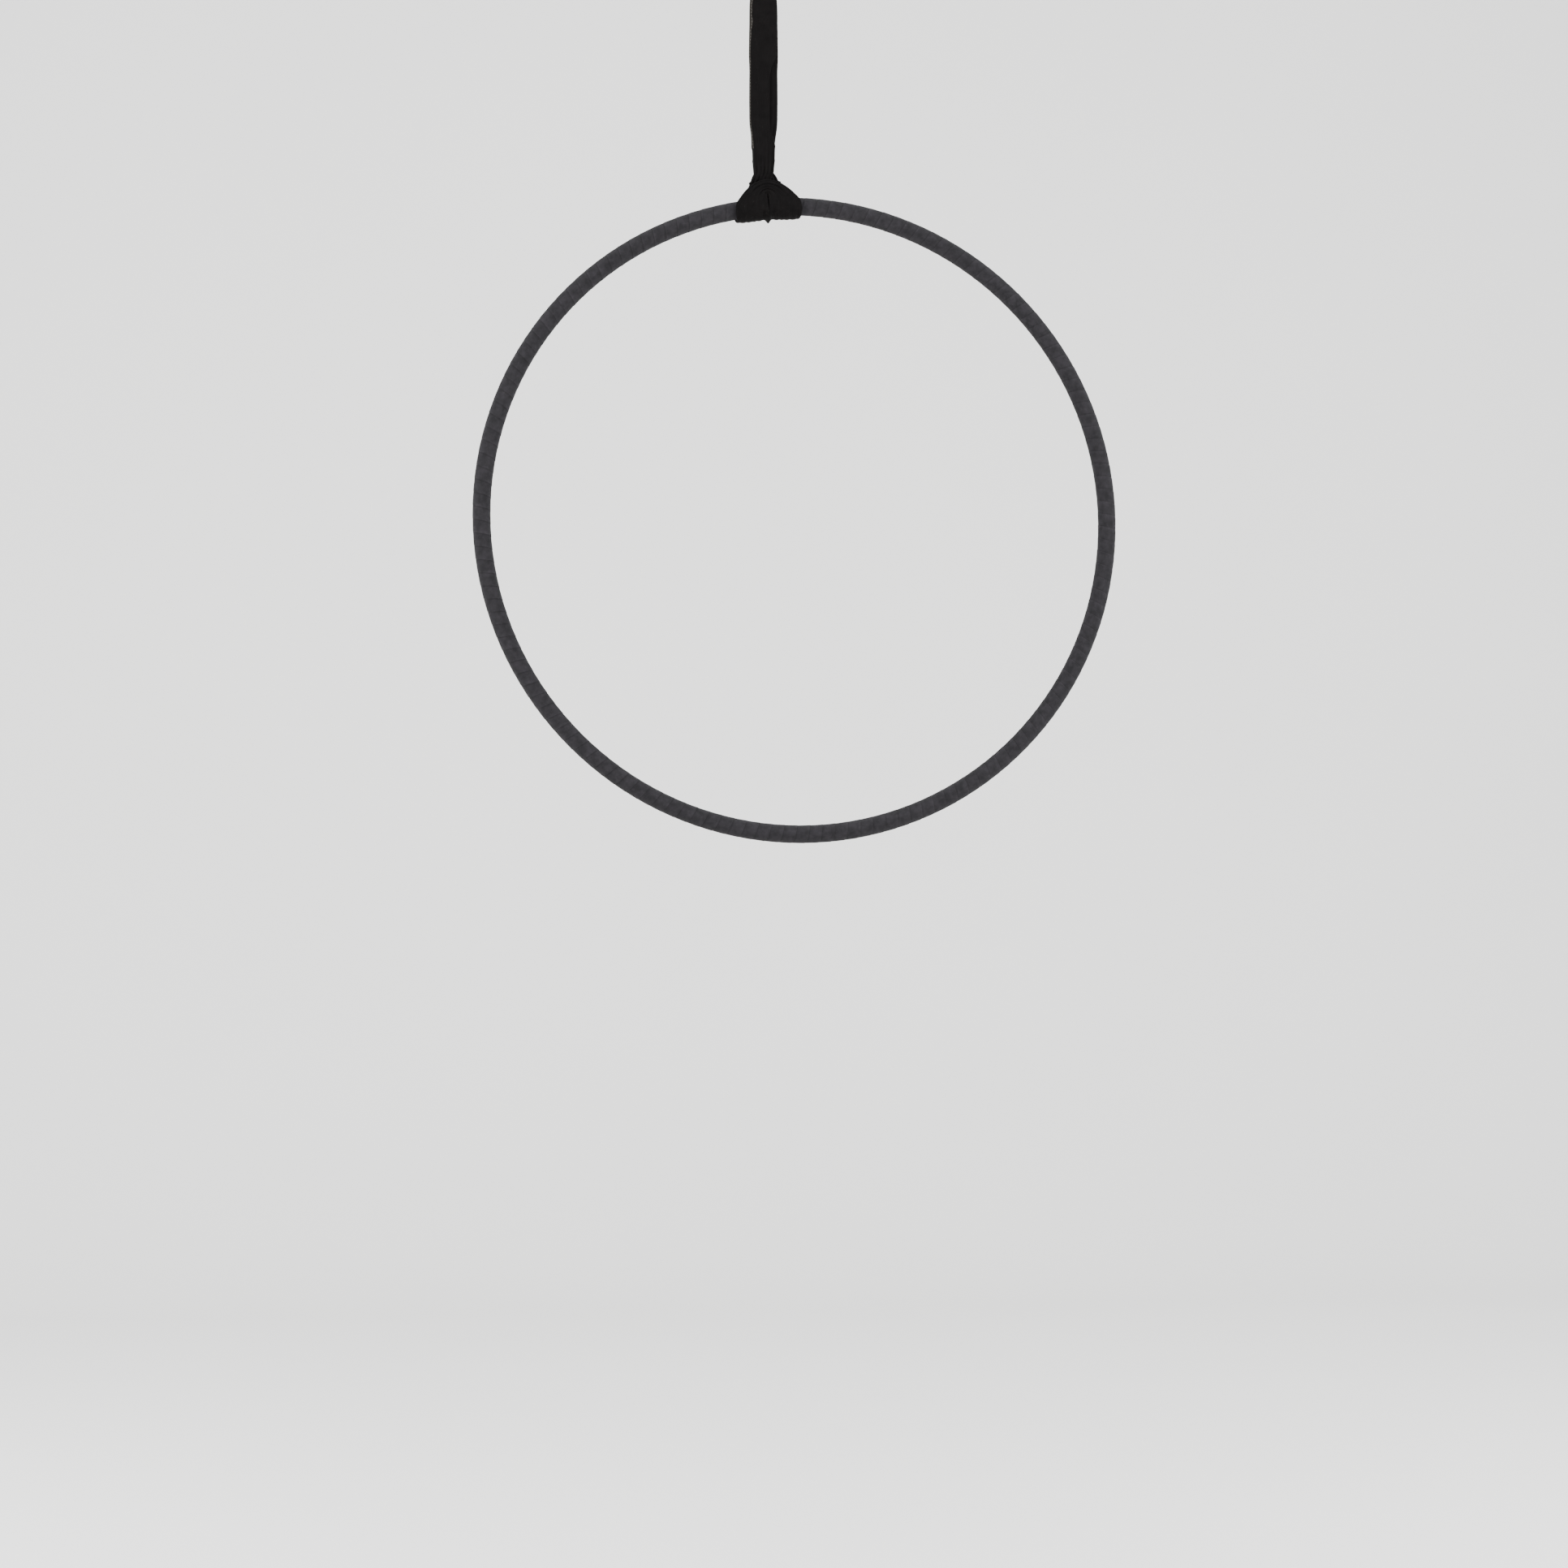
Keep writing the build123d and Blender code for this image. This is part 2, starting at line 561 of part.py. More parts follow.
def ball_groove():
    return Pos(0, 0, BALL_CENTRE_Z) * Torus(BALL_PITCH_RADIUS, BALL_RADIUS + GROOVE_CLEARANCE)


def lower_race():
    return disc(CAVITY_RADIUS - RACE_SIDE_GAP, LOWER_RACE_TOP, -CAP_TOP, CAGE_INNER) - ball_groove()


def upper_race():
    bore = SHAFT_THREAD_DIAMETER / 2 + THREAD_CLEARANCE
    return disc(CAGE_OUTER, UPPER_RACE_TOP, UPPER_RACE_BOTTOM, bore) - ball_groove()


def ball_spheres(radius):
    """A sphere at each ball's place."""
    places = PolarLocations(BALL_PITCH_RADIUS, BALL_COUNT)
    return [(Pos(0, 0, BALL_CENTRE_Z) * place * Sphere(radius)).solid() for place in places]


def bearing_balls():
    return Compound(ball_spheres(BALL_RADIUS))


def ball_cage():
    cage = disc(CAGE_OUTER, UPPER_RACE_BOTTOM - CAGE_GAP, LOWER_RACE_TOP + CAGE_GAP, CAGE_INNER)
    return cage - ball_spheres(BALL_RADIUS + POCKET_CLEARANCE)


def nut_pin():
    half = SPINDLE_NUT_FLATS / 2 - NUT_PIN_INSET
    return rod(NUT_PIN_DIAMETER / 2, (0, -half, NUT_PIN_Z), (0, half, NUT_PIN_Z))


def pin_drill():
    """The drill for the pin's hole through the nut and the shaft."""
    half = SPINDLE_NUT_FLATS
    return rod(NUT_PIN_DIAMETER / 2 + THREAD_CLEARANCE, (0, -half, NUT_PIN_Z), (0, half, NUT_PIN_Z))


def spindle_nut():
    bore = SHAFT_THREAD_DIAMETER / 2 + THREAD_CLEARANCE
    nut = hexagon_bar(SPINDLE_NUT_FLATS, (0, 0, UPPER_RACE_TOP), SPINDLE_NUT_HEIGHT, (0, 0, 1), bore)
    return nut - pin_drill()


def swivel_spindle():
    """The shaft with its thread, its shoulder and the lower eye."""
    shaft = disc(SHAFT_DIAMETER / 2, UPPER_RACE_BOTTOM, SHOULDER_TOP)
    thread = disc(SHAFT_THREAD_DIAMETER / 2, SPINDLE_TOP, UPPER_RACE_BOTTOM - CUT_MARGIN)
    shoulder = disc(LOWER_EYE_DIAMETER / 2, SHOULDER_TOP, SHOULDER_TOP - SPINDLE_SHOULDER)
    shoulder = fillet(shoulder.edges().filter_by(GeomType.CIRCLE), SPINDLE_SHOULDER_ROUND)
    hole_size = BOLT_DIAMETER + 2 * BOLT_CLEARANCE
    plate, hole = eye_plate(LOWER_EYE_DIAMETER, hole_size, BOLT_Z, (1, 0, 0))
    web_top = SHOULDER_TOP - SPINDLE_SHOULDER / 2
    web = Pos(0, 0, (web_top + BOLT_Z) / 2) * Box(EYE_THICKNESS, SPINDLE_WEB_WIDTH, web_top - BOLT_Z)
    return shaft + thread + shoulder + web + plate - hole - pin_drill()


def lock_screw_places():
    """The angle of each lock screw."""
    return [90 + i * 360 / LOCK_SCREW_COUNT for i in range(LOCK_SCREW_COUNT)]


def lock_screw(angle, radius, outer):
    """A round bar through the housing's wall, from the cap's thread outwards."""
    start = (CAVITY_RADIUS, 0, LOCK_SCREW_Z)
    return Rot(0, 0, angle) * rod(radius, start, (outer, 0, LOCK_SCREW_Z))


def cap_lock_screws():
    """Grub screws, each with a hexagon socket."""
    face = HOUSING_DIAMETER / 2 - LOCK_SCREW_INSET
    plane = Plane(origin=(face, 0, LOCK_SCREW_Z), z_dir=(-1, 0, 0))
    key = extrude(plane * RegularPolygon(LOCK_SCREW_KEY / 2, 6), LOCK_SCREW_KEY_DEPTH)
    screws = []
    for angle in lock_screw_places():
        screws.append((lock_screw(angle, LOCK_SCREW_DIAMETER / 2, face) - Rot(0, 0, angle) * key).solid())
    return Compound(screws)


PIECES = {
    "hoop_tube": hoop_tube(),
    "joint_spigot": joint_spigot(),
    "joint_weld": joint_weld(),
    "plug_welds": plug_welds(),
    "grip_tape_left": grip_tape(-1),
    "grip_tape_right": grip_tape(1),
    "sling_hitch": sling_hitch(),
    "sling_neck": sling_neck(),
    "sling_loop": sling_loop(),
    "shackle_bow": shackle_bow(),
    "shackle_bolt": shackle_bolt(),
    "shackle_nut": shackle_nut(),
    "shackle_cotter": shackle_cotter(),
    "swivel_housing": swivel_housing(),
    "swivel_end_cap": swivel_end_cap(),
    "spindle_bush": spindle_bush(),
    "dust_seal": dust_seal(),
    "lower_race": lower_race(),
    "upper_race": upper_race(),
    "bearing_balls": bearing_balls(),
    "ball_cage": ball_cage(),
    "spindle_nut": spindle_nut(),
    "nut_pin": nut_pin(),
    "swivel_spindle": swivel_spindle(),
    "cap_lock_screws": cap_lock_screws(),
}

os.makedirs("parts", exist_ok=True)
for name, piece in PIECES.items():
    export_step(piece, f"parts/{name}.step")
print("hoop centre", [round(v, 2) for v in HOOP_CENTRE])
print("neck", round(NECK_Z, 2), "bar", BAR_Z, "bolt", BOLT_Z)
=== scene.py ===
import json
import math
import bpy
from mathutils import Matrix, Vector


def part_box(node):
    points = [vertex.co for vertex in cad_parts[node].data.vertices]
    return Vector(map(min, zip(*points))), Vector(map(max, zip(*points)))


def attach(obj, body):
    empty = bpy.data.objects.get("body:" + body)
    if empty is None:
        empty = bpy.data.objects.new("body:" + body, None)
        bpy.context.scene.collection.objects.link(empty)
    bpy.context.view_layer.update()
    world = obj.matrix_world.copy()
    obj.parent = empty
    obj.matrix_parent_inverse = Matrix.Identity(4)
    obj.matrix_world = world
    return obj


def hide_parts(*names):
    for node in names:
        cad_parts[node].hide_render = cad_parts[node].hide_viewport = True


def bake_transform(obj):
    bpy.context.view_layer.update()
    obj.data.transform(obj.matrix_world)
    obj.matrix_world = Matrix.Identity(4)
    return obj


bl_info = {
    "name": "Lyra Hoop",
    "version": (1, 0, 0),
    "blender": (4, 5, 0),
    "location": "3D View > Sidebar > Lyra Hoop",
    "description": "Dresses an aerial hoop: wound tape, round sling with its hitch, shackle and swivel",
    "category": "Object",
}

import bmesh
import bpy
import numpy as np
from bpy.props import FloatProperty, FloatVectorProperty, PointerProperty
from mathutils import Vector

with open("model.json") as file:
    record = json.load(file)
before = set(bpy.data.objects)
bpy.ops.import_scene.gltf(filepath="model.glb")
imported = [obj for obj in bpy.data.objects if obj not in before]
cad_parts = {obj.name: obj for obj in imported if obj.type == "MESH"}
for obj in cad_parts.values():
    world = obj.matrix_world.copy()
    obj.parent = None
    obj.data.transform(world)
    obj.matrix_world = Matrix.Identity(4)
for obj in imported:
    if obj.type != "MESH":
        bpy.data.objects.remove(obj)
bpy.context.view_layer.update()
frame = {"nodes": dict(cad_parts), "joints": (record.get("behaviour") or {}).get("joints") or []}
MM = 0.001


# Places and sizes that come from the frame


def joint_place(name):
    """Where a joint of the frame turns, in metres."""
    return Vector(next(joint["pos_m"] for joint in frame["joints"] if joint["name"] == name))


def node_box(node):
    """A node's lowest and highest corner as vectors."""
    low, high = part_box(node)
    return Vector(low), Vector(high)


NECK = joint_place("hoop_tilt")
BAR = joint_place("sling_swing")
TUBE_LOW, TUBE_HIGH = node_box("hoop_tube")
HOOP_CENTRE = (TUBE_LOW + TUBE_HIGH) / 2
TUBE_RADIUS = (TUBE_HIGH.y - TUBE_LOW.y) / 2
RING_RADIUS = (TUBE_HIGH.x - TUBE_LOW.x) / 2 - TUBE_RADIUS
TAPE_LOW, TAPE_HIGH = node_box("grip_tape_left")
TAPE_RADIUS = (TAPE_HIGH.y - TAPE_LOW.y) / 2
LEAN = math.atan2(HOOP_CENTRE.x - NECK.x, NECK.z - HOOP_CENTRE.z)
STRAP_LENGTH = BAR.z - NECK.z


def linear(code):
    """The linear colour of an sRGB hex code."""
    channels = [int(code[i : i + 2], 16) / 255 for i in (0, 2, 4)]
    return tuple(c / 12.92 if c <= 0.04045 else ((c + 0.055) / 1.055) ** 2.4 for c in channels)


def colour_property(name, description, code):
    """A colour that a user may change, with an sRGB hex default."""
    return FloatVectorProperty(
        name=name, description=description, subtype="COLOR", size=3, min=0, max=1, default=linear(code)
    )


def length_property(name, description, millimetres):
    """A length that a user may change, with its default in millimetres."""
    return FloatProperty(
        name=name, description=description, subtype="DISTANCE", unit="LENGTH", default=millimetres * MM
    )


class TapeSettings(bpy.types.PropertyGroup):
    """The cloth tape wound on the hoop's tube."""

    lap: length_property("Lap", "Distance from one turn's edge to the next", 19.0)
    step: length_property("Step", "Height of a turn's edge over the turn below", 0.32)
    ripple: length_property("Ripple", "How far the wound surface wanders in and out", 0.22)
    thread: length_property("Thread", "Thread spacing, drawn twice as coarse as it is", 0.9)
    colour: colour_property("Colour", "Dyed cotton", "141315")
    worn_colour: colour_property("Worn colour", "Where hands have rubbed the nap grey", "201E21")


class SlingSettings(bpy.types.PropertyGroup):
    """The round sling's woven cover."""

    fold: length_property("Fold", "Height of the gathered folds at the throat", 2.4)
    crumple: length_property("Crumple", "How far creases stand out on the hitch's flanks", 1.7)
    pucker: length_property("Pucker", "How far the legs' edges wander", 0.5)
    ridge: length_property("Ridge", "How far the wraps' edges stand out where they meet", 7.0)
    thread: length_property("Thread", "Rib spacing of the cover's weave", 0.8)
    colour: colour_property("Colour", "Spun-dyed polyester", "060505")
    # Paler than the cover: a painted highlight along the seam's lapped edge
    seam_highlight_colour: colour_property("Seam colour", "The cover's cut and lapped edge, painted paler as a highlight", "1B1917")
    thread_colour: colour_property("Thread colour", "Sewing thread of the seam", "45423C")


class FittingSettings(bpy.types.PropertyGroup):
    """The metals of the shackle, the swivel and the tube."""

    zinc: colour_property("Hot-dip zinc", "Dull zinc on the forged shackle", "7A7E80")
    bright_zinc: colour_property("Bright zinc", "Electroplated small parts", "A2A29C")
    steel: colour_property("Turned steel", "The swivel's housing and spindle", "8A8C8F")


class StageSettings(bpy.types.PropertyGroup):
    """Floor, lights and camera."""

    distance: length_property("Distance", "From the hoop's centre to the camera", 4702.0)
    azimuth: FloatProperty(
        name="Azimuth", description="Camera's place round the hoop, in degrees", default=-8.30
    )
    elevation: FloatProperty(
        name="Elevation", description="Camera's place over the hoop's centre, in degrees", default=-8.16
    )
    yaw: FloatProperty(
        name="Yaw", description="Where the camera points, to the left, in degrees", default=-8.04
    )
    pitch: FloatProperty(
        name="Pitch", description="Where the camera points, upwards, in degrees", default=3.42
    )
    lens: FloatProperty(
        name="Lens", description="Focal length on a 36 mm sensor", unit="CAMERA", default=73.48
    )
    floor_drop: length_property("Floor drop", "From the hoop's foot down to the floor", 900.0)
    floor_colour: colour_property("Floor colour", "Matt studio paper", "E9E8E6")


SETTINGS = {
    "lyra_tape": TapeSettings,
    "lyra_sling": SlingSettings,
    "lyra_fittings": FittingSettings,
    "lyra_stage": StageSettings,
}


# Nodes and materials


def add_node(tree, kind, settings=None, values=None, links=None):
    """Adds a node, with its own settings, its inputs' values and links from (node, output)."""
    node = tree.nodes.new(kind)
    for key, value in (settings or {}).items():
        setattr(node, key, value)
    for key, value in (values or {}).items():
        node.inputs[key].default_value = value
    for key, (source, output) in (links or {}).items():
        tree.links.new(source.outputs[output], node.inputs[key])
    return node


def new_material(name, **values):
    """A material with its shader's constants set. Returns the material, its tree and the shader."""
    material = bpy.data.materials.new(name)
    material.use_nodes = True
    tree = material.node_tree
    shader = tree.nodes["Principled BSDF"]
    for key, value in values.items():
        shader.inputs[key.replace("_", " ")].default_value = value
    return material, tree, shader


def link(tree, node, output, target, key):
    """Links a node's output to a target's input."""
    tree.links.new(node.outputs[output], target.inputs[key])


def add_sums(tree, known, sums):
    """Adds a Math node for each (name, operation, inputs) and keeps its output in known under its name.
    An input is a number or the name of an output that is known already."""
    for name, operation, *inputs in sums:
        values = {i: value for i, value in enumerate(inputs) if not isinstance(value, str)}
        links = {i: known[value] for i, value in enumerate(inputs) if isinstance(value, str)}
        known[name] = (add_node(tree, "ShaderNodeMath", {"operation": operation}, values, links), 0)


def new_node_group(name, sockets):
    """A geometry node group with named inputs and one output. Returns it and its inputs by name."""
    tree = bpy.data.node_groups.new(name, "GeometryNodeTree")
    for socket, kind in sockets.items():
        tree.interface.new_socket(socket, in_out="INPUT", socket_type="NodeSocket" + kind)
    tree.interface.new_socket("Geometry", in_out="OUTPUT", socket_type="NodeSocketGeometry")
    given = add_node(tree, "NodeGroupInput")
    return tree, {socket: (given, socket) for socket in sockets}


def finish_node_group(tree, source, material):
    """Makes a node group's instances real, gives them their material and puts them out."""
    real = add_node(tree, "GeometryNodeRealizeInstances", links={"Geometry": source})
    painted = add_node(
        tree, "GeometryNodeSetMaterial", values={"Material": material}, links={"Geometry": (real, "Geometry")}
    )
    add_node(tree, "NodeGroupOutput", links={"Geometry": (painted, "Geometry")})


def mottle(tree, shader, low, high, spot_mm, coordinates):
    """Colour that drifts between two tones, in spots of a real size. Returns the spots and their colours."""
    noise = add_node(
        tree,
        "ShaderNodeTexNoise",
        values={"Scale": 1 / (spot_mm * MM), "Detail": 4.0, "Roughness": 0.6},
        links={"Vector": coordinates},
    )
    tones = add_node(tree, "ShaderNodeValToRGB", links={"Fac": (noise, "Fac")})
    for stop, position, colour in zip(tones.color_ramp.elements, (0.35, 0.68), (low, high)):
        stop.position = position
        stop.color = (*colour, 1.0)
    link(tree, tones, "Color", shader, "Base Color")
    return noise, tones


def weave(tree, shader, thread, depth, across_share=1.0):
    """A plain weave on the UV map in metres: two sets of threads that go over and under each other."""
    uv = add_node(tree, "ShaderNodeUVMap", {"uv_map": "UVMap"})
    split = add_node(tree, "ShaderNodeSeparateXYZ", links={"Vector": (uv, "UV")})
    known = {"x": (split, "X"), "y": (split, "Y")}
    sums = [
        ("x turn", "MULTIPLY", "x", math.pi / thread),
        ("y turn", "MULTIPLY", "y", math.pi / (thread * across_share)),
        ("x wave", "SINE", "x turn"),
        ("y wave", "SINE", "y turn"),
        ("crossing", "MULTIPLY", "x wave", "y wave"),
        ("height", "ABSOLUTE", "crossing"),
    ]
    add_sums(tree, known, sums)
    raised = add_node(
        tree, "ShaderNodeBump", values={"Strength": 1.0, "Distance": depth}, links={"Height": known["height"]}
    )
    link(tree, raised, "Normal", shader, "Normal")


# A turn of tape from its top edge to the edge below, and how light it is there: the raised top edge is rubbed
# paler, and the corner at its foot, under the next turn's edge, is darkened as painted shade
TURN_WEAR_AND_SHADE_TONES = ((0.0, 1.3), (0.05, 1.12), (0.3, 1.0), (0.86, 0.96), (1.0, 0.55))


def cotton_tape(settings):
    """Cotton tape, woven and calendered, then handled: matte, with a little grey nap. The shadows between
    its threads swallow most of the shine."""
    material, tree, shader = new_material(
        "cotton_grip_tape", Roughness=0.92, Specular_IOR_Level=0.15, Sheen_Weight=0.02, Sheen_Roughness=0.6
    )
    place = add_node(tree, "ShaderNodeTexCoord")
    _, tones = mottle(tree, shader, settings.colour, settings.worn_colour, 9.0, (place, "Object"))
    # Painted shade darkens the corner under each turn's edge, and hands rub the edge itself grey
    turn = add_node(tree, "ShaderNodeAttribute", {"attribute_name": "turn_share"})
    edge = add_node(tree, "ShaderNodeValToRGB", links={"Fac": (turn, "Fac")})
    stops = edge.color_ramp.elements
    for position, _ in TURN_WEAR_AND_SHADE_TONES[1:-1]:
        stops.new(position)
    for stop, (_, tone) in zip(stops, TURN_WEAR_AND_SHADE_TONES):
        stop.color = (tone, tone, tone, 1.0)
    shaded = add_node(
        tree,
        "ShaderNodeVectorMath",
        {"operation": "MULTIPLY"},
        links={0: (tones, "Color"), 1: (edge, "Color")},
    )
    link(tree, shaded, 0, shader, "Base Color")
    weave(tree, shader, settings.thread, 0.12 * MM)
    return material


def polyester_cover(settings, name, colour):
    """Polyester, woven as a tube with lengthwise ribs: near black, since the gaps between its ribs
    swallow light, with a faint sheen along them."""
    material, tree, shader = new_material(
        name, Roughness=0.72, Specular_IOR_Level=0.045, Sheen_Weight=0.002, Sheen_Roughness=0.5
    )
    place = add_node(tree, "ShaderNodeTexCoord")
    lighter = tuple(min(1.0, c * 1.7) for c in colour)
    mottle(tree, shader, colour, lighter, 14.0, (place, "Object"))
    weave(tree, shader, settings.thread, 0.10 * MM, across_share=2.2)
    return material


def sewing_thread(settings):
    """Polyester sewing thread, twisted and waxed: a small soft shine."""
    material, tree, shader = new_material("polyester_thread", Roughness=0.55, IOR=1.5)
    place = add_node(tree, "ShaderNodeTexCoord")
    mottle(tree, shader, settings.thread_colour, settings.colour, 0.6, (place, "Object"))
    return material


def worn_metal(name, colour, roughness, spot_mm, grain_mm, depth_mm, contrast=0.8):
    """A bare or plated metal: tone and roughness drift in spots, and a fine grain lies in the surface."""
    material, tree, shader = new_material(name, Metallic=1.0, Roughness=roughness)
    place = add_node(tree, "ShaderNodeTexCoord")
    darker = tuple(c * contrast for c in colour)
    noise, _ = mottle(tree, shader, darker, colour, spot_mm, (place, "Object"))
    spread = add_node(
        tree,
        "ShaderNodeMapRange",
        values={"To Min": roughness * 0.8, "To Max": min(1.0, roughness * 1.25)},
        links={"Value": (noise, "Fac")},
    )
    link(tree, spread, "Result", shader, "Roughness")
    grain = add_node(
        tree,
        "ShaderNodeTexNoise",
        values={"Scale": 1 / (grain_mm * MM), "Detail": 3.0},
        links={"Vector": (place, "Object")},
    )
    raised = add_node(
        tree,
        "ShaderNodeBump",
        values={"Strength": 1.0, "Distance": depth_mm * MM},
        links={"Height": (grain, "Fac")},
    )
    link(tree, raised, "Normal", shader, "Normal")
    return material


def nitrile_rubber():
    """Nitrile rubber, moulded: black, slightly shiny where it is smooth."""
    material, tree, shader = new_material("nitrile_rubber", Roughness=0.55, IOR=1.52)
    place = add_node(tree, "ShaderNodeTexCoord")
    mottle(tree, shader, linear("0C0C0C"), linear("171717"), 3.0, (place, "Object"))
    return material


def studio_paper(settings):
    """Matt paper sheet: even and pale, no shine."""
    material, tree, shader = new_material("studio_paper", Roughness=0.95, IOR=1.4)
    place = add_node(tree, "ShaderNodeTexCoord")
    warm = tuple(c * 0.985 for c in settings.floor_colour)
    mottle(tree, shader, warm, settings.floor_colour, 700.0, (place, "Object"))
    return material


def finish_node(node, material):
    """Gives a node of the frame its material."""
    slots = frame["nodes"][node].data.materials
    slots.clear()
    slots.append(material)


# Meshes


SHARP_ANGLE = math.radians(70)


def mesh_object(name, mesh, material):
    """A finished piece at the origin."""
    piece = bpy.data.objects.new(name, mesh)
    bpy.context.scene.collection.objects.link(piece)
    mesh.materials.clear()
    mesh.materials.append(material)
    mesh.shade_smooth()
    mesh.set_sharp_from_angle(angle=SHARP_ANGLE)
    return piece


def close_and_turn_out(mesh):
    """Merges doubles and turns a closed mesh's faces outwards."""
    work = bmesh.new()
    work.from_mesh(mesh)
    bmesh.ops.remove_doubles(work, verts=work.verts, dist=1e-6)
    bmesh.ops.recalc_face_normals(work, faces=work.faces)
    work.to_mesh(mesh)
    work.free()


def skin_mesh(name, rows, cloth_width, row_lengths):
    """A closed mesh over rows of points. Its UV map runs round it over the cloth's width, and along it."""
    count, around = rows.shape[:2]
    vertices = rows.reshape(-1, 3)
    index = np.arange(count * around).reshape(count, around)
    following = np.roll(index, -1, axis=1)
    quads = np.stack([index[:-1], following[:-1], following[1:], index[1:]], axis=-1).reshape(-1, 4)
    faces = quads.tolist()
    faces.append(index[0][::-1].tolist())
    faces.append(index[-1].tolist())
    mesh = bpy.data.meshes.new(name)
    mesh.from_pydata(vertices.tolist(), [], faces)
    columns = np.arange(around + 1) / around * cloth_width
    lengths = np.asarray(row_lengths)
    corner_u = np.stack([columns[:-1], columns[1:], columns[1:], columns[:-1]], axis=-1)
    corner_v = np.stack([lengths[:-1], lengths[:-1], lengths[1:], lengths[1:]], axis=-1)
    uv = np.zeros((len(mesh.loops), 2))
    side = np.empty((count - 1, around, 4, 2))
    side[..., 0] = corner_u[None]
    side[..., 1] = corner_v[:, None]
    uv[: side.size // 2] = side.reshape(-1, 2)
    layer = mesh.uv_layers.new(name="UVMap")
    layer.data.foreach_set("uv", uv.astype(np.float32).ravel())
    mesh.validate()
    close_and_turn_out(mesh)
    return mesh


def grown_mesh(name, tree, inputs, wall=0.0, path=()):
    """The plain mesh that a geometry tree makes, along a path and with a wall turned inwards where these
    are asked for."""
    seed_mesh = bpy.data.meshes.new(name + "_seed")
    points = [tuple(point) for point in path]
    seed_mesh.from_pydata(points, [(i, i + 1) for i in range(len(points) - 1)], [])
    holder = bpy.data.objects.new(name + "_seed", seed_mesh)
    bpy.context.scene.collection.objects.link(holder)
    modifier = holder.modifiers.new("tree", "NODES")
    modifier.node_group = tree
    for item in tree.interface.items_tree:
        if item.item_type == "SOCKET" and item.in_out == "INPUT" and item.name in inputs:
            modifier[item.identifier] = inputs[item.name]
    if wall:
        solid = holder.modifiers.new("wall", "SOLIDIFY")
        solid.thickness = wall
        solid.offset = -1.0
    graph = bpy.context.evaluated_depsgraph_get()
    mesh = bpy.data.meshes.new_from_object(holder.evaluated_get(graph), depsgraph=graph)
    mesh.name = name
    holder.modifiers.clear()
    bpy.data.objects.remove(holder)
    bpy.data.meshes.remove(seed_mesh)
    return mesh


def run_through(stations, per_span):
    """Rows that run smoothly through given stations. The first and the last only guide the ends."""
    stations = np.asarray(stations, float)
    rows = []
    t = np.arange(per_span)[:, None] / per_span
    for a, b, c, d in zip(stations, stations[1:], stations[2:], stations[3:]):
        square = (2 * a - 5 * b + 4 * c - d) * t**2
        cube = (3 * b - a - 3 * c + d) * t**3
        rows.append(0.5 * (2 * b + (c - a) * t + square + cube))
    rows.append(stations[-2][None])
    return np.concatenate(rows)


def unit(vectors):
    """The vectors at length 1."""
    return vectors / np.linalg.norm(vectors, axis=-1, keepdims=True)


def running_lengths(points):
    """How far along a line of points each of them lies."""
    steps = np.linalg.norm(np.diff(points, axis=0), axis=1)
    return np.concatenate([[0.0], np.cumsum(steps)])


def ramp(values, zero_at, one_at):
    """0 up to one place and 1 from another, with a straight run between them."""
    return np.clip((values - zero_at) / (one_at - zero_at), 0, 1)


def ease(share):
    """A share from 0 to 1 that leaves and arrives smoothly."""
    return share * share * (3 - 2 * share)


def wander(x, seed):
    """A smooth, seeded wave between about -1 and 1 with no clear period of its own."""
    phases = np.random.default_rng(seed).uniform(0, math.tau, 4)
    rates = (1.0, 1.73, 2.61, 3.87)
    weights = (0.45, 0.3, 0.2, 0.12)
    return sum(w * np.sin(r * x + p) for w, r, p in zip(weights, rates, phases))


BAND_AROUND = 112
SECTION_POWER = 3.0
FOLDS_ACROSS = 4.5
FOLD_VALLEY = 0.66
# Over what lengths the folds drift, the edges wander, and the creases follow each other
DRIFT_LENGTH = 28 * MM
EDGE_LENGTH = 21 * MM
EDGE_CREASE_LENGTH = 3.1 * MM
CROSS_CREASE_LENGTH = 4.5 * MM


